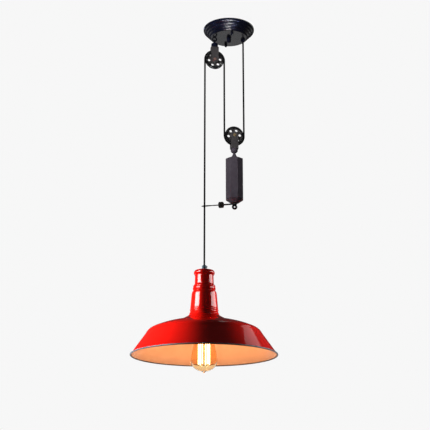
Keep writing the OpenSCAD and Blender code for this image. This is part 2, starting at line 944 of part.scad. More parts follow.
// ---- Lamp ----

module lamp_cord_grip() {
  r = lamp_grip_d / 2;
  screw_z = grip_thread_h + 3.5;
  color("lightslategray")
    translate([x_lamp, 0, z_neck])
      difference() {
        rotate_extrude()
          polygon([
            [cord_r, 0], [r, 0], [r, lamp_grip_h - 3.2],
            each bow([r, lamp_grip_h - 3.2], [cord_r + 1, lamp_grip_h], -0.8),
            [cord_r + 1, lamp_grip_h], [cord_r, lamp_grip_h]
          ]);
        translate([0, 0, -cut]) cylinder(r = nipple_r, h = grip_thread_h + cut);
        translate([0, 0, screw_z]) rotate([0, 90, 0]) cylinder(r = 1.5, h = 2 * r);
      }
}

module grip_screw() {
  r = lamp_grip_d / 2;
  color("lightslategray")
    translate([x_lamp, 0, z_neck + grip_thread_h + 3.5])
      rotate([0, 90, 0])
        difference() {
          union() {
            translate([0, 0, cord_r]) cylinder(r = 1.5, h = r - cord_r);
            translate([0, 0, r]) cylinder(r = 2.4, h = 1.4);
          }
          translate([-3, -0.4, r + 0.7]) cube([6, 0.8, 1.4]);
        }
}

// Outer line of the neck, from the nipple hole over two beads to the shade
function neck_line() =
  let (
    bead_a = [top_bead_r - 1.6, -3.2], bead_b = [top_bead_r - 1.6, -16],
    waist = [waist_r, -19.5], waist_low = [waist_r + 0.5, -27],
    ring_a = [second_bead_r - 1.6, -39], ring_b = [second_bead_r - 1.3, -51],
    groove = [second_bead_r - 1.4, -53], shoulder = [neck_shoulder_r, -64],
    side = [neck_shoulder_r + 1.9, -94], base = [neck_base_r, -neck_h + 1.2]
  )
  concat(
    [[nipple_r + nipple_ease, 0], [top_bead_r - 6, 0]],
    bow([top_bead_r - 6, 0], bead_a, 0.9, 3),
    bow(bead_a, bead_b, 1.6),
    [bead_b, waist], bow(waist, waist_low, -0.1, 2), bow(waist_low, ring_a, 0.3, 4),
    bow(ring_a, ring_b, 1.5), [ring_b, groove], bow(groove, shoulder, 0.9, 4),
    bow(shoulder, side, 0.3, 4), [side, base, [neck_base_r, -neck_h]]
  );

module neck() {
  color("red")
    translate([x_lamp, 0, z_neck])
      rotate_extrude($fn = 96) polygon(sheet(neck_line(), neck_wall));
}

module lamp_nipple() {
  low = z_collar + holder_top_h + cap_dome_h;
  color("silver")
    translate([x_lamp, 0, low])
      tube(nipple_r, nipple_bore_r, z_neck + grip_thread_h - low);
}

module nipple_nuts() {
  color("silver")
    translate([x_lamp, 0, 0]) {
      translate([0, 0, z_neck - neck_wall - plate_nut_h])
        hex_nut(lock_nut_af, plate_nut_h, nipple_r);
      translate([0, 0, z_collar + holder_top_h + cap_dome_h + cap_collar_h])
        hex_nut(lock_nut_af, plate_nut_h, nipple_r);
    }
}

module cord_in_lamp() {
  low = z_collar + holder_top_h + cap_dome_h;
  color("dimgray") translate([x_lamp, 0, low]) cylinder(r = cord_r, h = -lamp_drop - low);
}

module at_collar() {
  translate([x_lamp, 0, z_collar]) children();
}

module holder_cap() {
  wall = 2;
  top = holder_top_h + cap_dome_h;
  color("ivory")
    at_collar()
      rotate_extrude()
        polygon([
          [nipple_r, top], [nipple_r, top + cap_collar_h], [nipple_r + 3, top + cap_collar_h],
          [nipple_r + 3, top + 1], each bow([nipple_r + 3, top], [holder_r - 2, holder_top_h], 3),
          [holder_r - 2, holder_top_h], [holder_r - 2 - wall, holder_top_h],
          [holder_r - 5, holder_top_h + 2], [nipple_r + 3, top - wall], [nipple_r, top - wall]
        ]);
}

module holder_body() {
  bore = shell_r + shell_t;
  color("ivory")
    at_collar()
      rotate_extrude()
        polygon([
          [bore, -skirt_h], [skirt_r - 0.8, -skirt_h], [skirt_r, -skirt_h + 0.8], [skirt_r, 0],
          [holder_r, 0], [holder_r, holder_step_h - 1], [holder_r - 1, holder_step_h],
          [holder_r - 2, holder_step_h], [holder_r - 2, holder_top_h], [bore, holder_top_h]
        ]);
}

module holder_insert() {
  color("white")
    at_collar()
      difference() {
        translate([0, 0, insert_low]) cylinder(r = shell_r + shell_t, h = insert_top - insert_low);
        translate([0, 0, insert_low - cut]) cylinder(r = 1.5, h = 2 * insert_top + 2 * cut);
        for (s = [-1, 1])
          translate([0, s * 8, insert_low - cut]) cylinder(r = 1.6, h = 2 * insert_top + 2 * cut);
      }
}

module holder_contact() {
  color("goldenrod")
    at_collar() {
      translate([-9, -2.5, insert_low - contact_t]) cube([12, 5, contact_t]);
      translate([0, 0, insert_low]) cylinder(r = 1.5, h = insert_top - insert_low);
      translate([0, 0, insert_top]) cylinder(r = 2.6, h = 1.2);
    }
}

module screw_shell() {
  h = skirt_h - 5;
  color("goldenrod")
    at_collar()
      translate([0, 0, -h]) tube(shell_r + shell_t, shell_r, h + insert_low);
}

module shade_ring() {
  flange = 2.4;
  color("ivory")
    at_collar()
      rotate_extrude()
        polygon([
          [skirt_r, -shade_wall], [shade_ring_r, -shade_wall], [shade_ring_r, -shade_wall - flange],
          [skirt_r + 3.6, -shade_wall - flange - 1], [skirt_r + 3, -shade_wall - 9],
          [skirt_r, -shade_wall - 9]
        ]);
}

// Outer line of the shade, from its hole over the collar,
// flare, dome and shoulder to the rim
function shade_line() =
  let (
    hole = [skirt_r + skirt_gap, 0], collar = [neck_base_r + 0.2, 0],
    foot = [neck_base_r + 1.8, -4],
    flare_a = [neck_base_r + 3.2, -8.5], flare_b = [flare_r, -flare_drop],
    dome_b = [dome_r, -dome_drop], shoulder_b = [dome_r + shoulder_w, -dome_drop - shoulder_drop],
    rim = [shade_r - rim_r, -shade_h]
  )
  concat(
    [hole, collar], bow([neck_base_r + 0.2, -1.2], foot, 0.2, 2),
    bow(foot, flare_a, -0.1, 2), bow(flare_a, flare_b, -1.7, 8),
    bow(flare_b, dome_b, 1.7, 10), bow(dome_b, shoulder_b, 2, 8), [shoulder_b, rim]
  );

// The rolled rim, from where the outer side runs into it round to the inner side
function rim_points(c, d) =
  let (start = atan2(-d[1], -d[0]), turn = 360 - asin(shade_wall / rim_r))
  [for (i = [0:rim_steps]) let (a = start - i * turn / rim_steps) c + rim_r * [cos(a), sin(a)]];

module shade() {
  line = shade_line();
  last = len(line) - 1;
  color("red")
    at_collar()
      rotate_extrude($fn = 128)
        polygon(concat(
          [for (i = [0:last - 1]) line[i]],
          rim_points(line[last], run_dir(line, last)),
          [for (i = [last - 1:-1:0]) inner_point(line, i, shade_wall)]
        ));
}

// ---- Bulb, drawn from the top of its contact at z = 0 ----

module at_bulb() {
  translate([x_lamp, 0, z_collar + bulb_top]) children();
}

module bulb_contact() {
  color("silver") at_bulb() translate([0, 0, -1.2]) cylinder(r1 = 5, r2 = 4, h = 1.2);
}

module bulb_insulator() {
  color("black")
    at_bulb()
      translate([0, 0, -3.4]) cylinder(r1 = neck_glass_r, r2 = 5, h = 2.2);
}

// Screw cap with its rolled thread drawn as rounded ridges
module bulb_cap() {
  top = -3.4;
  root_r = bulb_cap_r - screw_depth;
  low = top - screw_turns * screw_pitch;
  line = concat(
    [for (i = [0:screw_turns - 1])
      each bow([root_r, top - i * screw_pitch], [root_r, top - (i + 1) * screw_pitch], screw_depth)],
    [[root_r, low], [root_r, low - 3.5]]
  );
  color("silver") at_bulb() rotate_extrude() polygon(sheet(line, cap_wall));
}

// Outer line of the glass, from inside the cap over the belly to the pip
function glass_line() =
  let (
    throat = [neck_glass_r, -25.1], belly_a = [0.72 * bulb_r, -0.46 * bulb_l],
    belly_b = [bulb_r, -0.75 * bulb_l], bowl = [0.56 * bulb_r, -bulb_l + 7.7],
    pip_a = [3, -bulb_l + 3.4], pip_b = [1.8, -bulb_l + 0.8]
  )
  concat(
    [[neck_glass_r, glass_top]], bow(throat, belly_a, 0.6, 8), bow(belly_a, belly_b, 1, 8),
    bow(belly_b, bowl, 5, 10), bow(bowl, pip_a, 0.3, 4), [pip_a, pip_b, [0, -bulb_l]]
  );

module bulb_glass() {
  color([1, 0.75, 0.4, 0.5]) at_bulb() rotate_extrude($fn = 96) polygon(sheet(glass_line(), glass_t));
}

module bulb_stem() {
  flare_r_in = neck_glass_r - glass_t;
  color("lightcyan")
    at_bulb()
      rotate_extrude()
        polygon([
          [0, glass_top], [flare_r_in, glass_top], [flare_r_in, glass_top - 1.2], [5, glass_top - 4],
          [3.4, glass_top - 9],
          [2.6, glass_top - stem_h + 4], [3.4, glass_top - stem_h + 2], [2.6, glass_top - stem_h],
          [0, glass_top - stem_h]
        ]);
}

module filament_sticks() {
  color("gold")
    at_bulb()
      for (i = [0:stick_count - 1])
        rotate(i * 360 / stick_count)
          translate([stick_circle_r, 0, stick_top - stick_l]) cylinder(d = stick_d, h = stick_l);
}

module filament_wires() {
  wire_r = 0.5;
  peg_h = 1.6;
  low = stick_top - stick_l - peg_h;
  color("silver")
    at_bulb() {
      translate([0, 0, low]) cylinder(r = wire_r, h = glass_top - stem_h - low);
      for (z = [low, stick_top]) {
        translate([0, 0, z]) cylinder(r = 3 * wire_r, h = peg_h);
        for (i = [0:stick_count - 1])
          rotate(i * 360 / stick_count) {
            translate([0, 0, z + peg_h / 2])
              rotate([0, 90, 0]) cylinder(r = wire_r, h = stick_circle_r);
            translate([stick_circle_r, 0, z]) cylinder(r = 1.4 * wire_r, h = peg_h);
          }
      }
    }
}

mounting_bar();
bar_studs();
centre_stud();
centre_stud_nut();
rose_cover();
cap_nuts();
centre_finial();
pulley_hook();
hook_nut();
rose_cord_grip();
grip_nut();
terminal_block();
terminal_screws();
cord_in_rose();
upper_swivel_eye();
upper_cap();
upper_strap();
upper_axle();
upper_washers();
upper_wheel();
upper_bush();
cord_over_wheel();
lower_strap();
lower_axle();
lower_washers();
lower_wheel();
lower_bush();
cord_under_wheel();
lower_cap();
swivel_stud();
weight_collar();
counterweight();
foot_eye_bolt();
arm_tube();
lock_collar();
guide_eye();
cord_to_lamp();
cord_between_wheels();
cord_to_rose();
lamp_cord_grip();
grip_screw();
neck();
lamp_nipple();
nipple_nuts();
cord_in_lamp();
holder_cap();
holder_body();
holder_insert();
holder_contact();
screw_shell();
shade_ring();
shade();
bulb_contact();
bulb_insulator();
bulb_cap();
bulb_glass();
bulb_stem();
filament_sticks();
filament_wires();
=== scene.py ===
import math
import bmesh
import bpy
from mathutils import Matrix, Vector


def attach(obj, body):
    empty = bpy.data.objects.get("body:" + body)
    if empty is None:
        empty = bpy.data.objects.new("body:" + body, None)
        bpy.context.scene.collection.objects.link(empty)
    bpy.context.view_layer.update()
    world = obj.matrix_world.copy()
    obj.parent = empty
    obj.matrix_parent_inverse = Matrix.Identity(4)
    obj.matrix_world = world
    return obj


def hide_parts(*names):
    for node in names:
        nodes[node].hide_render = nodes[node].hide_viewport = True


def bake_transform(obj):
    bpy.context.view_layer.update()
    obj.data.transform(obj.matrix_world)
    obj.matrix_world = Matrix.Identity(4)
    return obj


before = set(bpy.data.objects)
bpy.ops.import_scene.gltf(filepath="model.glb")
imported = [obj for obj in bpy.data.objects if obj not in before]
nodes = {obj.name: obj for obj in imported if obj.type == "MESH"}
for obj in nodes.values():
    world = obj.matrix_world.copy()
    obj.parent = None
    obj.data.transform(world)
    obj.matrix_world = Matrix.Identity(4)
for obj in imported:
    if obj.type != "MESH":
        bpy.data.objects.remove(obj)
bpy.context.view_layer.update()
scene = bpy.context.scene
scene.view_settings.view_transform = "Standard"

# ---- Camera: 2.4 m from the rose's axis and 1.25 m below the ceiling, pitched up
YAW = math.radians(-13)
PITCH = math.radians(16.9)
cam_data = bpy.data.cameras.new("camera")
cam_data.sensor_width = 36
cam_data.lens = 82.1
cam_data.clip_start = 0.05
cam_data.clip_end = 60
cam = bpy.data.objects.new("camera", cam_data)
cam.location = (-0.5743, -2.3217, -1.25)
cam.rotation_euler = (math.pi / 2 + PITCH, 0, YAW)
scene.collection.objects.link(cam)
scene.camera = cam

# ---- Sizes, in metres, as in the part's source
CORD_R = 0.00225
# from an axle to the middle of the cord, which sets the runs and the axles side by side
PITCH_R = 0.02625
X_LAMP, X_UP, X_MID, X_LOW, X_ROSE = (k * PITCH_R for k in (-2.5, -1.5, -0.5, 0.5, 1.5))
# the two axles, and the rose's face
Z_UP, Z_LOW = -0.094, -0.306
Z_FACE = -0.026
# the tops of the lamp's cord grip, its neck and its shade
Z_GRIP, Z_NECK, Z_COLLAR = -0.659, -0.6725, -0.778
# the top and the foot of the weight, and where the guide arm meets its axis
Z_WEIGHT, Z_FOOT, Z_ARM = -0.372, -0.491, -0.4931
DROOP = math.radians(8)
# the straps: thickness, half the room inside, and height over the axle; the foot of a cap over the axle
STRAP_T, STRAP_GAP, STRAP_RISE = 0.0016, 0.0054, 0.038
CAP_RISE = 0.036
# the height of the rose's cord grip, and of the arm's sleeve under the weight
ROSE_GRIP_H, SLEEVE_H = 0.007, 0.0042
# the arm's tube: its radius, the radius of its bore, and its reach from the weight's axis
TUBE_R, TUBE_BORE, TUBE_L = 0.002, 0.00145, 0.038

# ---- The weight is turned on its swivel, which the source leaves at 0
WEIGHT_TURN = math.radians(-15)

# ---- Material tools
# nearly all of a noise texture lies between these values
NOISE_LOW, NOISE_HIGH = 0.3, 0.7
# the braid: strands each way round, and the length after which it repeats
BRAID_STRANDS, BRAID_STEP = 6, 0.0048


def new_mat(name):
    """A new material, with its node tree and its shader."""
    m = bpy.data.materials.new(name)
    m.use_nodes = True
    nt = m.node_tree
    return m, nt, nt.nodes["Principled BSDF"]


def noise(nt, scale, detail=4.0, rough=0.55):
    """Noise fixed to the object, with scale features to a metre."""
    tc = nt.nodes.new("ShaderNodeTexCoord")
    n = nt.nodes.new("ShaderNodeTexNoise")
    n.inputs["Scale"].default_value = scale
    n.inputs["Detail"].default_value = detail
    n.inputs["Roughness"].default_value = rough
    nt.links.new(tc.outputs["Object"], n.inputs["Vector"])
    return n.outputs["Fac"]


def ramp(nt, fac, dark, light, start=NOISE_LOW, end=NOISE_HIGH):
    """A colour that goes from dark to light while fac goes from start to end."""
    r = nt.nodes.new("ShaderNodeValToRGB")
    for e, pos, col in zip(r.color_ramp.elements, (start, end), (dark, light)):
        e.position = pos
        e.color = (*col, 1)
    nt.links.new(fac, r.inputs["Fac"])
    return r.outputs["Color"]


def spread(nt, fac, lo, hi, start=NOISE_LOW, end=NOISE_HIGH):
    """A number that goes from lo to hi while fac goes from start to end."""
    m = nt.nodes.new("ShaderNodeMapRange")
    m.inputs["From Min"].default_value = start
    m.inputs["From Max"].default_value = end
    m.inputs["To Min"].default_value = lo
    m.inputs["To Max"].default_value = hi
    nt.links.new(fac, m.inputs["Value"])
    return m.outputs["Result"]


def math_node(nt, op, *values):
    """A Math node on numbers or sockets."""
    m = nt.nodes.new("ShaderNodeMath")
    m.operation = op
    for socket, v in zip(m.inputs, values):
        if isinstance(v, (int, float)):
            socket.default_value = v
        else:
            nt.links.new(v, socket)
    return m.outputs[0]


def bump(nt, bsdf, height, strength, distance, previous=None):
    """Bump from a height, on top of a previous bump if there is one."""
    b = nt.nodes.new("ShaderNodeBump")
    b.inputs["Strength"].default_value = strength
    b.inputs["Distance"].default_value = distance
    nt.links.new(height, b.inputs["Height"])
    if previous:
        nt.links.new(previous, b.inputs["Normal"])
    nt.links.new(b.outputs["Normal"], bsdf.inputs["Normal"])
    return b.outputs["Normal"]


def wear_edges(nt, col, wear, pointed, scale, broken):
    """The colour col, with the wear's colour on pointed edges where noise lets it through."""
    geometry = nt.nodes.new("ShaderNodeNewGeometry")
    edges = spread(nt, geometry.outputs["Pointiness"], 0, 1, *pointed)
    gaps = spread(nt, noise(nt, scale), 0, 1, *broken)
    mix = nt.nodes.new("ShaderNodeMix")
    mix.data_type = "RGBA"
    nt.links.new(math_node(nt, "MULTIPLY", edges, gaps), mix.inputs["Factor"])
    # a Mix node keeps its colours in sockets 6 and 7, and gives them out at 2
    nt.links.new(col, mix.inputs[6])
    mix.inputs[7].default_value = (*wear, 1)
    return mix.outputs[2]


def enamel(name, dark, light, rough, coat, wear=None, grain=900, metal=0.0, peel=0.15):
    """Paint or plastic: a patchy colour, fine roughness and bump, a thin coat and perhaps worn edges."""
    m, nt, b = new_mat(name)
    fine = noise(nt, grain, 3)
    col = ramp(nt, noise(nt, 45, 5), dark, light)
    if wear:
        col = wear_edges(nt, col, wear, (0.53, 0.60), 260, (0.4, 0.62))
    nt.links.new(col, b.inputs["Base Color"])
    nt.links.new(spread(nt, fine, rough - 0.05, rough + 0.07), b.inputs["Roughness"])
    b.inputs["Metallic"].default_value = metal
    b.inputs["Coat Weight"].default_value = coat
    b.inputs["Coat Roughness"].default_value = 0.12
    bump(nt, b, fine, peel, 0.00012)
    return m


def bare_metal(name, dark, light, rough, metal=1.0):
    """Unpainted metal with a patchy colour and a fine grain."""
    m, nt, b = new_mat(name)
    fine = noise(nt, 700)
    nt.links.new(ramp(nt, noise(nt, 120, 5), dark, light), b.inputs["Base Color"])
    nt.links.new(spread(nt, fine, rough - 0.08, rough + 0.1), b.inputs["Roughness"])
    b.inputs["Metallic"].default_value = metal
    bump(nt, b, fine, 0.2, 0.0001)
    return m


def red_lacquer():
    """The shade's and neck's red, under a clear coat with a slight wave."""
    m, nt, b = new_mat("red_lacquer")
    col = ramp(nt, noise(nt, 9), (0.66, 0.006, 0.003), (0.73, 0.008, 0.0045))
    nt.links.new(col, b.inputs["Base Color"])
    nt.links.new(spread(nt, noise(nt, 30, 3), 0.30, 0.38), b.inputs["Roughness"])
    b.inputs["Specular IOR Level"].default_value = 0.05
    b.inputs["Coat Weight"].default_value = 1.0
    b.inputs["Coat Roughness"].default_value = 0.07
    b.inputs["Coat IOR"].default_value = 1.5
    bump(nt, b, noise(nt, 24, 2), 0.012, 0.0004)
    return m


def white_enamel():
    """The inside of the shade."""
    m, nt, b = new_mat("white_enamel")
    col = ramp(nt, noise(nt, 14, 5), (0.80, 0.77, 0.72), (0.88, 0.86, 0.82))
    nt.links.new(col, b.inputs["Base Color"])
    nt.links.new(spread(nt, noise(nt, 60, 3), 0.32, 0.45), b.inputs["Roughness"])
    b.inputs["Specular IOR Level"].default_value = 0.2
    b.inputs["Coat Weight"].default_value = 0.08
    b.inputs["Coat Roughness"].default_value = 0.2
    bump(nt, b, noise(nt, 400, 3), 0.08, 0.0002)
    return m


def cast_enamel():
    """The weight's paint on rough cast iron: coarse lumps under a fine grain."""
    m, nt, b = new_mat("cast_enamel")
    patch = noise(nt, 60, 6, 0.6)
    col = ramp(nt, patch, (0.112, 0.093, 0.120), (0.148, 0.127, 0.160))
    col = wear_edges(nt, col, (0.19, 0.17, 0.17), (0.52, 0.6), 200, (0.42, 0.6))
    nt.links.new(col, b.inputs["Base Color"])
    nt.links.new(spread(nt, patch, 0.45, 0.62), b.inputs["Roughness"])
    b.inputs["Specular IOR Level"].default_value = 0.1
    b.inputs["Coat Weight"].default_value = 0.03
    b.inputs["Coat Roughness"].default_value = 0.3
    lumps = bump(nt, b, noise(nt, 90, 5), 0.22, 0.0004)
    bump(nt, b, noise(nt, 750, 3), 0.3, 0.00015, lumps)
    return m


def flex_braid():
    """The flex's braid: two sets of strands that wind round it in opposite ways, with painted shade in the
    low grooves between them.
    """
    m, nt, b = new_mat("flex_braid")
    tc = nt.nodes.new("ShaderNodeTexCoord")
    sep = nt.nodes.new("ShaderNodeSeparateXYZ")
    nt.links.new(tc.outputs["UV"], sep.inputs[0])
    u = math_node(nt, "MULTIPLY", sep.outputs[0], 2 * math.pi * BRAID_STRANDS)
    v = math_node(nt, "MULTIPLY", sep.outputs[1], 2 * math.pi / BRAID_STEP)
    one = math_node(nt, "SINE", math_node(nt, "ADD", u, v))
    two = math_node(nt, "SINE", math_node(nt, "SUBTRACT", u, v))
    weave = math_node(nt, "MAXIMUM", one, two)
    height = spread(nt, weave, 0, 1, -0.4, 1.0)
    # the colour darkens where the weave is low: painted shade between the strands
    col = ramp(nt, height, (0.004, 0.004, 0.004), (0.015, 0.015, 0.015), 0.0, 1.0)
    nt.links.new(col, b.inputs["Base Color"])
    nt.links.new(spread(nt, noise(nt, 800, 3), 0.55, 0.8), b.inputs["Roughness"])
    b.inputs["Specular IOR Level"].default_value = 0.15
    bump(nt, b, weave, 0.4, 0.0002)
    return m


def glass(name, color):
    """Clear or tinted glass with a faint wave."""
    m, nt, b = new_mat(name)
    light = tuple(min(1.0, c * 1.04) for c in color)
    nt.links.new(ramp(nt, noise(nt, 40, 2), color, light, 0.35, 0.65), b.inputs["Base Color"])
    b.inputs["Transmission Weight"].default_value = 1.0
    b.inputs["Roughness"].default_value = 0.0
    b.inputs["IOR"].default_value = 1.45
    bump(nt, b, noise(nt, 18, 2), 0.05, 0.0006)
    return m


def filament_glow():
    """The lit filament."""
    m, nt, b = new_mat("filament_glow")
    col = ramp(nt, noise(nt, 1500, 3), (1.0, 0.70, 0.42), (1.0, 0.82, 0.58))
    nt.links.new(col, b.inputs["Base Color"])
    nt.links.new(col, b.inputs["Emission Color"])
    b.inputs["Emission Strength"].default_value = 8.0
    b.inputs["Roughness"].default_value = 0.6
    return m


RED = red_lacquer()
WHITE = white_enamel()
RIM = enamel("rim_enamel", (0.075, 0.088, 0.11), (0.12, 0.135, 0.16), 0.38, 0.1, grain=500)
BLACK = enamel("black_enamel", (0.008, 0.010, 0.026), (0.013, 0.016, 0.042), 0.25, 0.06,
               wear=(0.05, 0.05, 0.06), peel=0.0)
GLOSS = enamel("black_gloss", (0.005, 0.005, 0.009), (0.009, 0.009, 0.016), 0.40, 0.03,
               wear=(0.06, 0.06, 0.07), peel=0.05)
STRAP = enamel("strap_enamel", (0.085, 0.078, 0.081), (0.118, 0.109, 0.113), 0.5, 0.03,
               wear=(0.20, 0.19, 0.19))
WHEEL = enamel("wheel_enamel", (0.010, 0.010, 0.012), (0.020, 0.020, 0.022), 0.42, 0.05,
               wear=(0.08, 0.08, 0.08))
WEB = enamel("web_enamel", (0.058, 0.053, 0.055), (0.085, 0.078, 0.080), 0.5, 0.03,
             wear=(0.15, 0.14, 0.14))
STEEL = enamel("black_steel", (0.012, 0.012, 0.013), (0.026, 0.025, 0.026), 0.42, 0.05,
               wear=(0.12, 0.11, 0.10), metal=0.1)
CAST = cast_enamel()
COPPER = bare_metal("copper_rivet", (0.36, 0.20, 0.17), (0.50, 0.30, 0.26), 0.5, metal=0.35)
BRASS = bare_metal("brass", (0.42, 0.31, 0.16), (0.58, 0.44, 0.25), 0.45, metal=0.35)
ZINC = bare_metal("zinc_steel", (0.45, 0.45, 0.45), (0.62, 0.62, 0.61), 0.38)
ALU = bare_metal("bulb_aluminium", (0.60, 0.60, 0.59), (0.76, 0.76, 0.75), 0.3)
FLEX = flex_braid()
GREY = enamel("grey_nylon", (0.028, 0.052, 0.075), (0.045, 0.078, 0.105), 0.45, 0.03, grain=1200, peel=0.06)
CREAM = enamel("porcelain", (0.74, 0.70, 0.62), (0.83, 0.80, 0.73), 0.22, 0.8, grain=300, peel=0.08)
BLOCK = enamel("block_plastic", (0.72, 0.70, 0.64), (0.80, 0.78, 0.72), 0.4, 0.1)
AMBER = glass("amber_glass", (0.985, 0.79, 0.53))
CLEAR = glass("clear_glass", (0.93, 0.96, 0.96))
BLACK_GLASS = enamel("black_glass", (0.008, 0.008, 0.008), (0.014, 0.014, 0.014), 0.12, 0.6)
GLOW = filament_glow()


# ---- Mesh tools
def mesh_object(name, bm):
    """Makes bm an object of the scene, with its faces turned outwards."""
    me = bpy.data.meshes.new(name)
    bmesh.ops.recalc_face_normals(bm, faces=bm.faces)
    bm.to_mesh(me)
    bm.free()
    ob = bpy.data.objects.new(name, me)
    scene.collection.objects.link(ob)
    return ob


def make(name, bm, mats, body, replaces=(), bevel=0.0, angle=35, steps=2, *, slot):
    """A finished piece: smooth up to the angle in degrees, bevelled, and set in the frame."""
    ob = mesh_object(name, bm)
    me = ob.data
    for m in (mats if isinstance(mats, list) else [mats]):
        me.materials.append(m)
    me.polygons.foreach_set("use_smooth", [True] * len(me.polygons))
    me.set_sharp_from_angle(angle=math.radians(angle))
    if bevel:
        mod = ob.modifiers.new("bevel", "BEVEL")
        mod.width = bevel
        mod.segments = steps
        mod.limit_method = "ANGLE"
        mod.angle_limit = math.radians(angle)
        mod.harden_normals = True
    if body:
        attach(ob, body)
    if replaces:
        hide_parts(*replaces)
    return ob


def mm(points):
    """Points in millimetres, turned into metres."""
    return [(r * 0.001, z * 0.001) for r, z in points]


def held(a, b):
    """A straight stretch with a point close to each end, so that its shading stays straight."""
    return [(a[0] + (b[0] - a[0]) * t, a[1] + (b[1] - a[1]) * t) for t in (0, 0.04, 0.5, 0.96, 1)]


def bow(a, b, rise, n):
    """The first n points of a shallow arc from a to b that stands out by rise; b itself is left off."""
    dx, dz = b[0] - a[0], b[1] - a[1]
    size = math.hypot(dx, dz)
    nx, nz = -dz / size, dx / size
    points = []
    for i in range(n):
        t = i / n
        out = rise * 4 * t * (1 - t)
        points.append((a[0] + dx * t + nx * out, a[1] + dz * t + nz * out))
    return points


def quarter(n):
    """The first n points of a quarter circle of radius 1, from (1, 0); its end is left off."""
    return [(math.cos(q), math.sin(q)) for q in (math.pi / 2 * i / n for i in range(n))]


def soften(line, fixed, times):
    """Rounds the joins between arcs; the first fixed points and the last one stay."""
    for _ in range(times):
        middle = [tuple((a + 2 * b + c) / 4 for a, b, c in zip(line[i - 1], line[i], line[i + 1]))
                  for i in range(fixed, len(line) - 1)]
        line = line[:fixed] + middle + line[-1:]
    return line


def inset(line, wall):
    """The inner side of a profile, a wall's thickness in from it."""
    inner = []
    for i, (r, z) in enumerate(line):
        a, b = line[max(i - 1, 0)], line[min(i + 1, len(line) - 1)]
        dr, dz = b[0] - a[0], b[1] - a[1]
        size = math.hypot(dr, dz)
        inner.append((r + wall * dz / size, z - wall * dr / size))
    return inner


def polygon(sides, r, turn):
    """The corners of a regular polygon, r from its middle."""
    return [(r * math.cos(turn + 2 * math.pi * i / sides), r * math.sin(turn + 2 * math.pi * i / sides))
            for i in range(sides)]


def ring_points(centre, r, plane="XZ"):
    """48 points of an upright ring, in the plane XZ or YZ."""
    points = []
    for u, w in polygon(48, r, 0):
        points.append(Vector(centre) + (Vector((u, 0, w)) if plane == "XZ" else Vector((0, u, w))))
    return points


def at(x=0.0, y=0.0, z=0.0):
    """A move to a place."""
    return Matrix.Translation((x, y, z))


def revolve(bm, profile, place, segs, mats=None, closed=False):
    """Turns a profile of (radius, height) about Z and puts it in place; mats gives each band's material."""
    rings = []
    for r, z in profile:
        if r < 1e-7:
            # a point on the axis is one vertex
            rings.append([bm.verts.new(place @ Vector((0, 0, z)))])
        else:
            rings.append([bm.verts.new(place @ Vector((x, y, z))) for x, y in polygon(segs, r, 0)])
    pairs = list(zip(range(len(rings)), range(1, len(rings))))
    if closed:
        pairs.append((len(rings) - 1, 0))
    for k, (i, j) in enumerate(pairs):
        a, b = rings[i], rings[j]
        if len(a) == 1 and len(b) == 1:
            continue
        for s in range(segs):
            t = (s + 1) % segs
            if len(a) == 1:
                f = bm.faces.new((a[0], b[s], b[t]))
            elif len(b) == 1:
                f = bm.faces.new((a[s], b[0], a[t]))
            else:
                f = bm.faces.new((a[s], b[s], b[t], a[t]))
            f.material_index = mats[k] if mats else 0


def loft(bm, rows):
    """Joins rows of vertices into a closed skin, with a face on each end."""
    for a, b in zip(rows, rows[1:]):
        n = len(a)
        for i in range(n):
            j = (i + 1) % n
            bm.faces.new((a[i], a[j], b[j], b[i]))
    bm.faces.new(rows[0])
    bm.faces.new(rows[-1])


def sweep(bm, points, radius, segs, closed=False, side=Vector((0, 1, 0))):
    """A tube along points, with UVs in turns and metres; its seam starts on the side given."""
    uv = bm.loops.layers.uv.verify()
    pts = [Vector(p) for p in points]
    n = len(pts)
    rings = []
    length = [0.0]
    for i, p in enumerate(pts):
        before = pts[(i - 1) % n] if closed or i else p
        after = pts[(i + 1) % n] if closed or i < n - 1 else p
        t = (after - before).normalized()
        side = (side - side.dot(t) * t).normalized()
        up = t.cross(side)
        r = radius(i / (n - 1)) if callable(radius) else radius
        rings.append([bm.verts.new(p + u * side + w * up) for u, w in polygon(segs, r, 0)])
        if i:
            length.append(length[-1] + (p - pts[i - 1]).length)
    for i in range(n if closed else n - 1):
        a, b = rings[i], rings[(i + 1) % n]
        low = length[i]
        high = length[i + 1] if i + 1 < n else low + (pts[0] - pts[i]).length
        for k in range(segs):
            m = (k + 1) % segs
            f = bm.faces.new((a[k], a[m], b[m], b[k]))
            left, right = k / segs, (k + 1) / segs
            for loop, w in zip(f.loops, ((left, low), (right, low), (right, high), (left, high))):
                loop[uv].uv = w
    if not closed:
        bm.faces.new(rings[0])
        bm.faces.new(rings[-1])


def plate(bm, outline, z0, z1, place, mat=0):
    """A flat plate from an outline in XY, between two heights."""
    low = [bm.verts.new(place @ Vector((x, y, z0))) for x, y in outline]
    high = [bm.verts.new(place @ Vector((x, y, z1))) for x, y in outline]
    n = len(outline)
    faces = [bm.faces.new(low), bm.faces.new(high)]
    for i in range(n):
        j = (i + 1) % n
        faces.append(bm.faces.new((low[i], low[j], high[j], high[i])))
    for f in faces:
        f.material_index = mat


# turns what is made about Z, so that it lies along Y
Y_AXIS = Matrix.Rotation(math.radians(90), 4, "X")


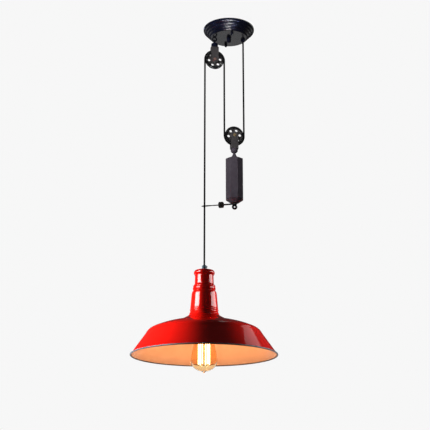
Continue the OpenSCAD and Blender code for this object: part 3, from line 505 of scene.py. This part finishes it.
# ---- Ceiling rose
def rose():
    """The cover with its four ribs, then its cap nuts, its finial and its cord grip."""
    segs, ribs, wall = 160, 4, 0.0012
    rim, edge = (0.068, -0.003), (0.046375, Z_FACE)
    line = [(rim[0], 0.0)]
    for i in range(ribs):
        p, q = ([rim[k] + (edge[k] - rim[k]) * j / ribs for k in (0, 1)] for j in (i, i + 1))
        line += bow(p, q, 0.0014, 10)
    line += [edge, (0.0455, Z_FACE), (0.0, Z_FACE)]
    inner = [(0.0, Z_FACE + wall), (0.0449, Z_FACE + wall), (0.0667, -0.004), (rim[0] - wall, 0.0)]
    bm = bmesh.new()
    revolve(bm, line + inner, at(), segs)
    # the edge's own ring between the outer and the inner wall
    bm.verts.ensure_lookup_table()
    outer, inside = bm.verts[:segs], bm.verts[-segs:]
    for i in range(segs):
        j = (i + 1) % segs
        bm.faces.new((outer[i], outer[j], inside[j], inside[i]))
    make("rose_shell", bm, BLACK, "ceiling_rose", ["rose_cover"], bevel=0.0004, angle=30,
         slot="black_enamel")

    bm = bmesh.new()
    flat, nut_h, dome_r, apart = 0.0035, 0.0055, 0.0034, 0.035
    corner = flat / math.cos(math.pi / 6)
    dome = [(dome_r, -0.0050)] + [(dome_r * c, -nut_h - dome_r * s) for c, s in quarter(10)]
    for s in (-1, 1):
        place = at(0, s * apart, Z_FACE)
        plate(bm, polygon(6, corner, math.pi / 6), -nut_h, 0, place)
        revolve(bm, dome + [(0, -nut_h - dome_r)], place, 32)
    make("rose_cap_nuts", bm, BLACK, "ceiling_rose", ["cap_nuts"], bevel=0.0004, angle=40,
         slot="black_enamel")

    bm = bmesh.new()
    r, h = 0.006, 0.013
    line = [(0, 0), (0.0058, 0), (r, -0.0004), (r, -0.0033), (0.0053, -0.0036), (0.0053, -0.0043)]
    line += [(r, -0.0046)] + [(r * c, -(h - r) - r * s) for c, s in quarter(12)] + [(0, -h)]
    revolve(bm, line, at(0, 0, Z_FACE), 48)
    make("rose_finial", bm, BLACK, "ceiling_rose", ["centre_finial"], angle=40, slot="black_enamel")

    bm = bmesh.new()
    r, h, shank = 0.006, ROSE_GRIP_H, 0.00345
    mouth = (CORD_R + 0.0003, -h)
    line = [(CORD_R, 0.003), (shank, 0.003), (shank, 0), (r - 0.0003, 0), (r, -0.0003)]
    line += bow((r, -0.45 * h), mouth, 0.0008, 10) + [mouth, (CORD_R, -h + 0.0003)]
    revolve(bm, line, at(X_ROSE, 0, Z_FACE), 48, closed=True)
    make("rose_grip", bm, BLACK, "ceiling_rose", ["rose_cord_grip"], angle=40, slot="black_enamel")


def hook():
    """The eye bolt under the rose, and the upper block's ring that hangs in it."""
    bm = bmesh.new()
    eye_z, eye_r, eye_wire = -0.0330, 0.0055, 0.0017
    line = [(0, 0.0054), (0.0018, 0.0054), (0.002, 0.0052), (0.002, 0), (0.0038, 0), (0.004, -0.0002),
            (0.004, -0.0006), (0.0036, -0.0008), (0, -0.0008)]
    revolve(bm, line, at(X_UP, 0, Z_FACE), 40)
    sweep(bm, ring_points((X_UP, 0, eye_z), eye_r), eye_wire, 24, closed=True)
    make("hook_eye", bm, GLOSS, "ceiling_rose", ["pulley_hook"], slot="black_steel")

    bm = bmesh.new()
    ring_z, ring_r, ring_wire = -0.0394, 0.0039, 0.0012
    top = ring_z - 0.0040
    low = Z_UP + STRAP_RISE - STRAP_T
    sweep(bm, ring_points((X_UP, 0, ring_z), ring_r, "YZ"), ring_wire, 24, closed=True)
    line = [(0, top), (0.0019, top), (0.002, top - 0.0003), (0.002, low), (0.0032, low),
            (0.0035, low - 0.0003), (0.0035, low - 0.0011), (0.0031, low - 0.0014), (0, low - 0.0014)]
    revolve(bm, line, at(X_UP), 28)
    make("swivel_ring", bm, GLOSS, "ceiling_rose", ["upper_swivel_eye"], slot="black_steel")


# ---- Pulley blocks
def wheel(name, x, z, body, replaces):
    """A grooved wheel whose web has six holes and a paint of its own."""
    bore, hub_r, hub_half = 0.004, 0.0105, 0.0045
    ring_r, ring_half, web_half = 0.0198, 0.004, 0.0015
    groove_r, holes_at, hole_r = 0.00255, 0.01515, 0.0036
    face = [(bore, -hub_half), (hub_r - 0.0004, -hub_half), (hub_r, -hub_half + 0.0004),
            (hub_r, -web_half - 0.0004), (hub_r + 0.0004, -web_half), (ring_r - 0.0006, -web_half),
            (ring_r, -web_half - 0.0006), (ring_r, -ring_half + 0.0005), (ring_r + 0.0005, -ring_half),
            (0.0245, -ring_half), (0.025, -ring_half + 0.0005)]
    groove = [(PITCH_R - groove_r * math.cos(t), groove_r * math.sin(t))
              for t in (math.radians(-60 + 120 * i / 16) for i in range(17))]
    back = [(r, -h) for r, h in reversed(face)]
    place = at(x, 0, z) @ Y_AXIS
    bm = bmesh.new()
    revolve(bm, face + groove + back, place, 128, closed=True)
    solid = mesh_object(name + "_solid", bm)
    bm = bmesh.new()
    for i in range(6):
        a = math.radians(60 * i + 8)
        centre = (holes_at * math.cos(a), holes_at * math.sin(a))
        circle = [(centre[0] + u, centre[1] + v) for u, v in polygon(40, hole_r, 0)]
        plate(bm, circle, -2 * web_half, 2 * web_half, place)
    holes = mesh_object(name + "_holes", bm)
    mod = solid.modifiers.new("holes", "BOOLEAN")
    mod.operation = "DIFFERENCE"
    mod.object = holes
    mod.solver = "EXACT"
    dg = bpy.context.evaluated_depsgraph_get()
    done = bpy.data.meshes.new_from_object(solid.evaluated_get(dg))
    for o in (solid, holes):
        bpy.data.objects.remove(o)
    bm = bmesh.new()
    bm.from_mesh(done)
    bmesh.ops.remove_doubles(bm, verts=bm.verts, dist=1e-6)
    axis = Vector((x, 0, z))
    for f in bm.faces:
        d = f.calc_center_median() - axis
        f.material_index = 1 if math.hypot(d.x, d.z) < ring_r - 0.0002 else 0
    make(name, bm, [WHEEL, WEB], body, replaces, bevel=0.00025, angle=38, slot="wheel_enamel")


def strap(name, x, z, up, replaces):
    """A bent plate over the wheel, with round ends at the axle; up is 1 above the wheel and -1 below."""
    half_w, bend = 0.010, 0.0035
    mid = STRAP_GAP + STRAP_T / 2
    bend_mid = bend - STRAP_T / 2
    # each step is the middle of the plate, its direction and half its width
    path = []
    for i in range(9):
        q = math.radians(80 - 80 * i / 8)
        path.append((mid, -half_w * math.sin(q), (0, 1), half_w * math.cos(q)))
    path.append((mid, STRAP_RISE - bend, (0, 1), half_w))
    for i in range(1, 9):
        q = math.radians(90 * i / 8)
        path.append((mid - bend_mid * (1 - math.cos(q)), STRAP_RISE - bend + bend_mid * math.sin(q),
                     (-math.sin(q), math.cos(q)), half_w))
    path += [(-y, h, (ty, -th), half) for y, h, (ty, th), half in reversed(path)]
    bm = bmesh.new()
    rows = []
    for y, h, (ty, th), half in path:
        ny, nh = th * STRAP_T / 2, -ty * STRAP_T / 2
        rows.append([bm.verts.new((x + sx * half, y + k * ny, z + up * (h + k * nh)))
                     for sx, k in ((-1, 1), (1, 1), (1, -1), (-1, -1))])
    loft(bm, rows)
    make(name, bm, STRAP, "ceiling_rose" if up > 0 else "weight", replaces, bevel=0.00035, angle=40,
         slot="black_enamel")


def rivets(name, x, z, mat, body, replaces, slot):
    """The axle with its two domed heads, outside the strap."""
    bm = bmesh.new()
    r, h, lip, pin_r = 0.00425, 0.0018, 0.00025, 0.0025
    outside = STRAP_GAP + STRAP_T
    dome = [(0, -0.0001), (r, 0.0), (r, lip)]
    dome += [(r * c, lip + (h - lip) * s) for c, s in quarter(10)[1:]] + [(0, h)]
    for s in (1, -1):
        place = at(x, 0, z) @ Matrix.Rotation(math.radians(-90 * s), 4, "X") @ at(0, 0, outside)
        revolve(bm, dome, place, 40)
    pin = [(0, -outside), (pin_r, -outside), (pin_r, outside), (0, outside)]
    revolve(bm, pin, at(x, 0, z) @ Y_AXIS, 32)
    make(name, bm, mat, body, replaces, angle=40, slot=slot)


def turned_cap(name, x, z, up, paint, body, replaces):
    """A turned cap on a block; the upper one keeps its full width for longer than the lower one."""
    side = 0.0072 if up > 0 else 0.0026
    line = [(0, 0), (0.0091, 0), (0.0094, 0.0003), (0.0094, 0.0018), (0.0091, 0.0021), (0.0090, 0.0023)]
    line += bow((0.0089, side), (0.0042, 0.0122), -0.0022, 14)
    line += [(0.004, 0.0122), (0.0037, 0.0125), (0, 0.0125)]
    bm = bmesh.new()
    revolve(bm, line, at(x, 0, z) @ Matrix.Diagonal((1, 1, up, 1)), 56)
    make(name, bm, paint, body, replaces, angle=40, slot="black_enamel")


# ---- Counterweight
def weight():
    """The octagonal casting, the flare on its top and the eye at its foot."""
    outer, foot_r, body_h, chamfer = 0.024, 0.0105, 0.109, 0.0008
    bm = bmesh.new()
    rows = []
    for r, z in ((outer - chamfer, Z_WEIGHT), (outer, Z_WEIGHT - chamfer), (outer, Z_WEIGHT - body_h),
                 (foot_r, Z_FOOT)):
        rows.append([bm.verts.new((X_LOW + x, y, z)) for x, y in polygon(8, r, math.pi / 8 + WEIGHT_TURN)])
    loft(bm, rows)
    make("weight_casting", bm, CAST, "weight", ["counterweight"], bevel=0.0007, angle=15, steps=3,
         slot="weight_iron")

    bm = bmesh.new()
    base, waist = (0.0195, 0.0012), (0.0041, 0.0133)
    line = [(0, 0), (0.0193, 0), (0.0195, 0.0002), base] + bow(base, waist, 0.0028, 14)
    line += [waist, (0.0041, 0.0152), (0.0038, 0.0155), (0, 0.0155)]
    revolve(bm, line, at(X_LOW, 0, Z_WEIGHT), 56)
    make("weight_flare", bm, CAST, "weight", ["weight_collar"], angle=40, slot="black_enamel")

    bm = bmesh.new()
    low = Z_FOOT - SLEEVE_H
    eye_r, eye_wire, eye_drop = 0.0046, 0.0027, 0.0059
    line = [(0, Z_FOOT + 0.010), (0.002, Z_FOOT + 0.010), (0.002, low), (0.0033, low),
            (0.0035, low - 0.0002), (0.0035, low - 0.0006), (0.0032, low - 0.0008), (0, low - 0.0008)]
    revolve(bm, line, at(X_LOW), 32)
    sweep(bm, ring_points((X_LOW, 0, low - eye_drop), eye_r), eye_wire, 24, closed=True)
    make("foot_eye", bm, GLOSS, "weight", ["foot_eye_bolt"], slot="black_steel")


def along(s, y=0.0):
    """A point along the guide arm from the weight's axis."""
    return Vector((X_LOW - s * math.cos(DROOP), y, Z_ARM - s * math.sin(DROOP)))


def arm():
    """The guide arm's sleeve and tube, then its knurled lock, then the guide eye on its rod."""
    place = at(X_LOW, 0, Z_ARM) @ Matrix.Rotation(math.radians(270) - DROOP, 4, "Y")
    bm = bmesh.new()
    tube = [(TUBE_R, 0.0055), (TUBE_R, TUBE_L - 0.0007), (TUBE_R - 0.00015, TUBE_L), (TUBE_BORE, TUBE_L),
            (TUBE_BORE, TUBE_L - 0.0008)]
    revolve(bm, tube, place, 32)
    sleeve = [(TUBE_R, 0), (0.0057, 0), (0.006, -0.0003), (0.006, -SLEEVE_H + 0.0003), (0.0057, -SLEEVE_H),
              (TUBE_R, -SLEEVE_H)]
    revolve(bm, sleeve, at(X_LOW, 0, Z_FOOT), 48, closed=True)
    make("arm_sleeve", bm, STEEL, "weight", ["arm_tube"], angle=40, slot="black_steel")

    bm = bmesh.new()
    teeth, r, tooth, l, e = 28, 0.008, 0.0006, 0.0125, 0.0012
    knurl = []
    for i in range(teeth):
        for k, depth in ((0.0, 0), (0.28, 0), (0.5, tooth), (0.78, tooth)):
            a = 2 * math.pi * (i + k) / teeth
            knurl.append(((r - depth) * math.cos(a), (r - depth) * math.sin(a)))
    at_lock = place @ at(0, 0, TUBE_L - 0.68 * l)
    # heights and widths: bevelled ends, and a groove round the middle
    rows = []
    for z, k in ((e * 0.75, 0.955), (e, 1.0), (l / 2 - 0.0005, 1.0), (l / 2 - 0.0002, 0.93),
                 (l / 2 + 0.0002, 0.93), (l / 2 + 0.0005, 1.0), (l - e, 1.0), (l - e * 0.75, 0.955)):
        rows.append([bm.verts.new(at_lock @ Vector((x * k, y * k, z))) for x, y in knurl])
    loft(bm, rows)
    core = r - tooth - 0.0002
    line = [(0.00205, 0), (core - e, 0), (core, e), (core, l - e), (core - e, l), (TUBE_BORE, l)]
    revolve(bm, line, at_lock, 56)
    make("lock_knurl", bm, STEEL, "arm_lock", ["lock_collar"], angle=30, slot="black_steel")

    bm = bmesh.new()
    wire, ring_r, reach, rod_r = 0.0009, 0.00465, 5.5, 0.0014
    # along the arm: the ring's middle, the point where its two legs meet, and its far side
    middle = (X_LOW - X_LAMP) / math.cos(DROOP) + wire
    meet = middle - reach * ring_r
    tip = middle + ring_r
    lean = math.asin(1 / reach)
    turn = math.pi / 2 + lean
    leg = [(meet + q * (middle - ring_r * math.sin(lean) - meet), q * ring_r * math.cos(lean))
           for q in (i / 6 for i in range(1, 6))]
    turns = [turn - 2 * turn * i / 28 for i in range(29)]
    path = [(meet + 0.0005, 0.0001)] + leg
    path += [(middle + ring_r * math.cos(q), ring_r * math.sin(q)) for q in turns]
    path += [(s, -y) for s, y in reversed(leg)] + [(meet + 0.0005, -0.0001)]
    sweep(bm, [along(s, y) for s, y in path], wire, 16, side=Vector((0, 0, 1)))
    sweep(bm, [along(s) for s in (0.016, 0.03, 0.045, meet + 0.0028, meet + 0.003)], rod_r, 16)
    sweep(bm, [along(tip + s) for s in (0, 0.0015, 0.0028, 0.003)], lambda q: wire - 0.0004 * q, 12)
    make("guide_loop", bm, STEEL, "guide", ["guide_eye"], angle=50, slot="black_steel")


# ---- Cord: one flex over the upper wheel and under the lower wheel
def cords():
    """Three upright runs that stretch between bodies, and the two arcs on the wheels."""
    def run(name, x, z0, z1, node):
        """An upright run that passes from the rose to a body, between the two heights."""
        n = 96
        bm = bmesh.new()
        sweep(bm, [(x, 0, z0 + (z1 - z0) * i / n) for i in range(n + 1)], CORD_R, 20)
        ob = make(name, bm, FLEX, None, slot="black_flex")
        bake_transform(ob)
        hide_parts(node)

    def arc(name, x, z, up, node, body):
        """Half a turn round a wheel; up is 1 over the upper wheel and -1 under the lower one."""
        turns = [math.pi * i / 64 for i in range(65)]
        points = [(x + PITCH_R * math.cos(a), 0, z + up * PITCH_R * math.sin(a)) for a in turns]
        bm = bmesh.new()
        sweep(bm, points, CORD_R, 20)
        make(name, bm, FLEX, body, [node], slot="black_flex")

    rose_z = Z_FACE - ROSE_GRIP_H
    run("flex_to_lamp", X_LAMP, Z_UP, Z_GRIP, "cord_to_lamp")
    run("flex_between", X_MID, Z_UP, Z_LOW, "cord_between_wheels")
    run("flex_to_rose", X_ROSE, rose_z, Z_LOW, "cord_to_rose")
    arc("flex_over", X_UP, Z_UP, 1, "cord_over_wheel", "ceiling_rose")
    arc("flex_under", X_LOW, Z_LOW, -1, "cord_under_wheel", "weight")


# ---- Lamp
def lamp_grip():
    """The cord grip on the neck, and the clamp screw in its side."""
    bm = bmesh.new()
    r, h, band = 0.006, 0.0135, 0.0056
    mouth = (CORD_R + 0.001, h)
    line = [(CORD_R, 0), (r - 0.0002, 0), (r, 0.0003), (r, 0.0040), (band, 0.0043), (band, 0.0047)]
    line += [(r, 0.0050)] + bow((r, h - 0.0032), mouth, -0.0008, 10) + [mouth, (CORD_R, h - 0.0004)]
    revolve(bm, line, at(X_LAMP, 0, Z_NECK), 48, closed=True)
    make("lamp_grip", bm, GREY, "lamp", ["lamp_cord_grip"], angle=40, slot="grey_nylon")

    bm = bmesh.new()
    place = at(X_LAMP, 0, Z_NECK + 0.0095) @ Matrix.Rotation(math.radians(90), 4, "Y")
    line = [(0, 0.0058), (0.0021, 0.0058), (0.0024, 0.0061), (0.0024, 0.0071), (0.0021, 0.0074), (0, 0.0074)]
    revolve(bm, line, place, 28)
    l, w = 0.0019, 0.00035
    plate(bm, [(-l, -w), (l, -w), (l, w), (-l, w)], 0.00735, 0.00743, place, mat=1)
    make("grip_clamp_screw", bm, [GREY, BLACK], "lamp", ["grip_screw"], angle=40, slot="grey_nylon")


def neck():
    """The neck cover, in millimetres from its top: the outside with its beads, then the inside."""
    lip_a, lip_b = (24.6, -2.6), (24.2, -11.6)
    waist_a, waist_b = (22.9, -14.2), (23.6, -35.0)
    collar_a, collar_b = (24.6, -36.4), (27.7, -42.2)
    band_a, band_b = (27.5, -43.6), (27.2, -50.8)
    groove, shoulder = (26.7, -52.6), (30.4, -57.6)
    flank_a, flank_b = (31.2, -62), (34.2, -96.6)
    bead_a, bead_b = (34.0, -98.4), (34.5, -102.8)
    line = [(5.2, 0), (18.8, 0)] + bow((20, 0), lip_a, 0.9, 8) + bow(lip_a, lip_b, 1.6, 14)
    line += bow(lip_b, waist_a, -0.35, 5) + held(waist_a, waist_b) + bow(waist_b, collar_a, -0.2, 4)[1:]
    line += bow(collar_a, collar_b, 0.7, 8) + [collar_b, (27.2, -42.8)]
    line += bow(band_a, band_b, 0.8, 10) + [band_b, (26.5, -51.8)]
    line += bow(groove, shoulder, 0.9, 8) + bow(shoulder, flank_a, 0.12, 4) + held(flank_a, flank_b)
    line += [(33.7, -97.4)] + bow(bead_a, bead_b, 0.9, 8)
    line += [bead_b, (34.1, -103.4), (34.6, -104.0), (34.6, -105.3)]
    line += [(33.2, -105.4), (31.8, -94), (28.8, -62), (25.0, -51.5), (21.6, -31), (21.2, -14), (22.2, -9),
             (21.8, -4), (5.2, -1.2)]
    bm = bmesh.new()
    revolve(bm, mm(line), at(X_LAMP, 0, Z_NECK), 128, closed=True)
    make("neck_shell", bm, RED, "lamp", ["neck"], angle=50, slot="red_enamel")


def shade():
    """The shade, in millimetres from its top: red outside, a rolled rim and white inside."""
    hole_r, wall, wire = 20.3, 1.2, 1.9
    collar, foot = (34.8, -1.2), (36.4, -4)
    flare_a, flare_b = (37.8, -8.5), (74, -25)
    dome_b, shoulder = (128, -41.5), (142.5, -55.5)
    rim = (178.1, -106)
    top = [(hole_r, 0), (34.2, 0), (34.6, -0.15), (34.8, -0.5)]
    line = top + bow(collar, foot, 0.2, 6) + bow(foot, flare_a, -0.1, 6)
    line += bow(flare_a, flare_b, -1.7, 24) + bow(flare_b, dome_b, 1.7, 30) + bow(dome_b, shoulder, 2.0, 24)
    line += bow(shoulder, rim, 0.0, 24)
    line = soften(line, 6, 3)
    inner = inset(line, wall)
    # the top is flat inside too, and its inner corner stays within the outer one
    inner[0] = (hole_r, -wall)
    for i in range(1, 6):
        inner[i] = (min(inner[i][0], 33.7), min(inner[i][1], -wall))
    # the rim is rolled round a wire, from the outside to the inside
    back = math.atan2(shoulder[1] - rim[1], shoulder[0] - rim[0])
    turn = 2 * math.pi - math.asin(wall / wire)
    turns = [back - turn * i / 20 for i in range(21)]
    bead = [(rim[0] + wire * math.cos(q), rim[1] + wire * math.sin(q)) for q in turns]
    while math.dist(line[-1], rim) < wire * 1.02:
        line.pop()
        inner.pop()
    kinds = [0] * (len(line) + 2) + [1] * (len(bead) - 3) + [2] * (len(inner) + 1)
    bm = bmesh.new()
    revolve(bm, mm(line + bead + inner[::-1]), at(X_LAMP, 0, Z_COLLAR), 256, mats=kinds, closed=True)
    make("shade_spinning", bm, [RED, RIM, WHITE], "lamp", ["shade"], angle=60, slot="red_enamel")


# ---- Bulb
def bulb():
    """The bulb's glass, in millimetres below its seat: the outside with its tip, then the inside."""
    segs = 96
    place = at(X_LAMP, 0, Z_COLLAR - 0.007)
    r, l, wall, neck_r = 32, 142, 0.8, 11.95
    throat, belly_a, belly_b = (neck_r, -25.1), (0.72 * r, -0.46 * l), (r, -0.75 * l)
    bowl, pip = (0.56 * r, -l + 7.7), (3, -l + 3.4)
    line = [(neck_r, -17)] + bow(throat, belly_a, 0.6, 16) + bow(belly_a, belly_b, 1.0, 16)
    line += bow(belly_b, bowl, 5, 24) + bow(bowl, pip, 0.3, 8)
    line = soften(line, 2, 4)
    line += [pip, (2.2, -l + 2.0), (1.8, -l + 0.8), (1.0, -l + 0.15), (0, -l)]
    inner = [(x, z) for x, z in inset(line, wall) if z > -l + 4.2 and x > 0.5] + [(0, -l + 4.6)]
    bm = bmesh.new()
    revolve(bm, mm(line), place, segs)
    revolve(bm, mm(inner), place, segs)
    # the open end, between the first rings of the outside and the inside
    bm.verts.ensure_lookup_table()
    first = segs * (len(line) - 1) + 1
    top, inner_top = bm.verts[:segs], bm.verts[first: first + segs]
    for i in range(segs):
        j = (i + 1) % segs
        bm.faces.new((top[i], top[j], inner_top[j], inner_top[i]))
    ob = make("bulb_envelope", bm, AMBER, "bulb", ["bulb_glass"], angle=60, slot="amber_glass")
    ob.visible_shadow = False


def cad_materials():
    """The CAD nodes that stay get their own procedural materials."""
    table = (
        (ZINC, "mounting_bar bar_studs centre_stud centre_stud_nut hook_nut grip_nut upper_washers"
               " lower_washers swivel_stud lamp_nipple nipple_nuts"),
        (BRASS, "terminal_screws upper_bush lower_bush holder_contact screw_shell"),
        (CREAM, "holder_cap holder_body holder_insert shade_ring"),
        (ALU, "bulb_contact bulb_cap filament_wires"),
        (FLEX, "cord_in_rose cord_in_lamp"),
        (BLOCK, "terminal_block"),
        (BLACK_GLASS, "bulb_insulator"),
        (CLEAR, "bulb_stem"),
        (GLOW, "filament_sticks"),
    )
    for m, names in table:
        for name in names.split():
            o = nodes[name]
            if not o.data.materials:
                o.data.materials.append(m)
            for s in o.material_slots:
                s.material = m


rose()
hook()
wheel("upper_sheave", X_UP, Z_UP, "upper_pulley", ["upper_wheel"])
wheel("lower_sheave", X_LOW, Z_LOW, "lower_pulley", ["lower_wheel"])
strap("upper_yoke", X_UP, Z_UP, 1, ["upper_strap"])
strap("lower_yoke", X_LOW, Z_LOW, -1, ["lower_strap"])
rivets("upper_rivet", X_UP, Z_UP, COPPER, "ceiling_rose", ["upper_axle"], "copper_rivet")
rivets("lower_rivet", X_LOW, Z_LOW, BRASS, "weight", ["lower_axle"], "brass")
turned_cap("upper_turning", X_UP, Z_UP + CAP_RISE, 1, BLACK, "ceiling_rose", ["upper_cap"])
turned_cap("lower_turning", X_LOW, Z_LOW - CAP_RISE, -1, CAST, "weight", ["lower_cap"])
weight()
arm()
cords()
lamp_grip()
neck()
shade()
bulb()
cad_materials()


# ---- Light, floor and background
# the tones that the world and the floor show, and the light that the world gives
SEEN_WORLD, SEEN_FLOOR, WORLD_LIGHT = 0.93, 0.72, 0.05
FLOOR_Z = -1.9
# the flags: how dark, how far from the lamp, how wide, and between which heights
FLAG_TONE, FLAG_FAR, FLAG_WIDE, FLAG_LOW, FLAG_HIGH = 0.03, 2.9, 5.8, -1.88, 2.1


def around(azimuth, distance, z):
    """A place round the lamp; azimuth 0 is towards the camera and positive is to the camera's right."""
    a = YAW + math.radians(azimuth)
    return Vector((X_LAMP + distance * math.sin(a), -distance * math.cos(a), z))


def wash(name, place, target, width, height, power, cone):
    """A soft lamp that lights a cone of so many degrees, and that no reflection shows."""
    d = bpy.data.lights.new(name, "AREA")
    d.energy = power
    d.shape = "RECTANGLE"
    d.size = width
    d.size_y = height
    d.spread = math.radians(cone)
    o = bpy.data.objects.new(name, d)
    o.location = place
    o.rotation_euler = (Vector(target) - place).to_track_quat("-Z", "Y").to_euler()
    o.visible_glossy = False
    scene.collection.objects.link(o)


def warm(name, kind, z, power, size, color):
    """Light of the lit bulb; the camera doesn't see the lamp itself."""
    d = bpy.data.lights.new(name, kind)
    d.energy = power
    d.color = color
    if kind == "POINT":
        d.shadow_soft_size = size
    else:
        d.shape = "DISK"
        d.size = size
    o = bpy.data.objects.new(name, d)
    o.location = (X_LAMP, 0, z)
    o.rotation_euler = (math.pi, 0, 0)
    o.visible_camera = o.visible_transmission = o.visible_glossy = False
    scene.collection.objects.link(o)


def seen_ray(nt):
    """1 for a ray that shows the background: to the camera, in a reflection or through glass."""
    path = nt.nodes.new("ShaderNodeLightPath")
    near = math_node(nt, "MAXIMUM", path.outputs["Is Camera Ray"], path.outputs["Is Glossy Ray"])
    return math_node(nt, "MAXIMUM", near, path.outputs["Is Transmission Ray"])


def studio_world():
    """A white world that is bright where it is seen, and gives little light."""
    world = bpy.data.worlds.new("studio")
    scene.world = world
    world.use_nodes = True
    nt = world.node_tree
    nt.nodes.clear()
    mixer = nt.nodes.new("ShaderNodeMixShader")
    nt.links.new(seen_ray(nt), mixer.inputs[0])
    for socket, strength in ((1, WORLD_LIGHT), (2, SEEN_WORLD)):
        light = nt.nodes.new("ShaderNodeBackground")
        light.inputs["Color"].default_value = (1, 1, 1, 1)
        light.inputs["Strength"].default_value = strength
        nt.links.new(light.outputs[0], mixer.inputs[socket])
    nt.links.new(mixer.outputs[0], nt.nodes.new("ShaderNodeOutputWorld").inputs["Surface"])


def flat_object(name, cuts, size, z, mat):
    """A flat square of the studio."""
    bm = bmesh.new()
    bmesh.ops.create_grid(bm, x_segments=cuts, y_segments=cuts, size=size)
    for v in bm.verts:
        v.co.z = z
    me = bpy.data.meshes.new(name)
    bm.to_mesh(me)
    bm.free()
    me.materials.append(mat)
    o = bpy.data.objects.new(name, me)
    scene.collection.objects.link(o)
    return o


def pale_floor():
    """The floor, which is bright where it is seen and keeps the object's shadow."""
    m, nt, b = new_mat("pale_floor")
    col = ramp(nt, noise(nt, 3, 3), (0.53, 0.53, 0.53), (0.57, 0.57, 0.57))
    nt.links.new(col, b.inputs["Base Color"])
    b.inputs["Roughness"].default_value = 0.9
    glow = nt.nodes.new("ShaderNodeEmission")
    nt.links.new(math_node(nt, "MULTIPLY", seen_ray(nt), SEEN_FLOOR), glow.inputs["Strength"])
    add = nt.nodes.new("ShaderNodeAddShader")
    nt.links.new(b.outputs["BSDF"], add.inputs[0])
    nt.links.new(glow.outputs[0], add.inputs[1])
    nt.links.new(add.outputs[0], nt.nodes["Material Output"].inputs["Surface"])
    o = flat_object("floor", 2, 12, FLOOR_Z, m)


def card(name, centre, normal, width, height, tone):
    """A dark flag or bright strip, seen only in first reflections, as later ones would leave specks."""
    m = bpy.data.materials.new(name)
    m.use_nodes = True
    m.cycles.emission_sampling = "NONE"
    nt = m.node_tree
    nt.nodes.clear()
    em = nt.nodes.new("ShaderNodeEmission")
    depth = nt.nodes.new("ShaderNodeLightPath").outputs["Ray Depth"]
    first = math_node(nt, "LESS_THAN", depth, 1.5)
    nt.links.new(math_node(nt, "MULTIPLY", first, tone), em.inputs["Strength"])
    nt.links.new(em.outputs[0], nt.nodes.new("ShaderNodeOutputMaterial").inputs["Surface"])
    o = flat_object(name, 1, 0.5, 0, m)
    o.scale = (width, height, 1)
    o.rotation_euler = Vector(normal).to_track_quat("Z", "Y").to_euler()
    o.location = centre
    o.visible_camera = o.visible_diffuse = o.visible_shadow = o.visible_transmission = False


def cards():
    """Dark flags all round, so that gloss shows dark, and bright strips for its highlights."""
    lamp_at = Vector((X_LAMP, 0, -0.75))
    front = Vector((math.sin(YAW), -math.cos(YAW), 0))
    turn = Matrix.Rotation(YAW, 3, "Z")
    for name, azimuth, low in (("flag_front", 0, FLAG_LOW), ("flag_left", -90, FLAG_LOW),
                               ("flag_right", 90, FLAG_LOW), ("flag_back", 180, -1.1)):
        middle = (low + FLAG_HIGH) / 2
        spot = around(azimuth, FLAG_FAR, middle)
        card(name, spot, Vector((X_LAMP, 0, middle)) - spot, FLAG_WIDE, FLAG_HIGH - low, FLAG_TONE)
    card("flag_low", Vector((X_LAMP, 0, -1.86)) + front * 0.5, (0, 0, 1), FLAG_WIDE, 4.8, FLAG_TONE)
    # the top flag isn't turned with the others, so it is wide enough to close their corners
    card("flag_top", (X_LAMP, 0, FLAG_HIGH), (0, 0, -1), 8.4, 8.4, FLAG_TONE)
    # each strip lights the shade's gloss, and its shield keeps it out of the pulleys and the weight
    for name, azimuth, width, tone in (("strip_left", -65, 1.1, 19), ("strip_right", 92, 1.5, 6.5)):
        spot = around(azimuth, 1.5, -0.27)
        card(name, spot, lamp_at - spot, width, 0.66, tone)
        shield = around(azimuth, 0.32, -0.25)
        card(name + "_shield", shield, Vector((X_LAMP, 0, -0.25)) - shield, 0.62, 0.56, FLAG_TONE)
    # a strip that faces the rose from below, with a shield that keeps it out of the neck
    under = Vector((X_LAMP / 2, 0, 0)) + turn @ Vector((0.0, -0.98, -1.72))
    card("strip_under", under, -under, 0.75, 0.3, 170)
    neck_shield = Vector((X_LAMP, 0, -1.27)) + front * 0.5
    card("strip_under_shield", neck_shield, lamp_at - neck_shield, 0.8, 0.42, FLAG_TONE)
    # a pale card behind the lamp, above it and to the right
    over = lamp_at + turn @ Vector((0.68, 0.42, 1.06))
    card("strip_over", over, lamp_at - over, 0.62, 0.9, 0.8)


wash("wash_left", around(-96, 1.5, -0.62), (X_LAMP, 0, -0.875), 0.5, 0.3, 3.3, 25)
wash("wash_right", around(116, 1.5, -0.62), (X_LAMP, 0, -0.875), 0.5, 0.3, 1.35, 25)
wash("wash_back", around(180, 1.8, -0.20), (X_LAMP, 0, -0.50), 0.8, 0.8, 2.2, 60)
wash("front_upper", around(-32, 2.2, -0.18), (0, 0, -0.20), 0.2, 0.2, 0.76, 27)
warm("bulb_glow", "POINT", -0.862, 0.035, 0.025, (1.0, 0.45, 0.16))
warm("shade_glow", "AREA", -0.886, 0.19, 0.30, (1.0, 0.31, 0.08))
warm("rim_glow", "AREA", -0.99, 0.52, 0.44, (1.0, 0.33, 0.12))
studio_world()
pale_floor()
cards()
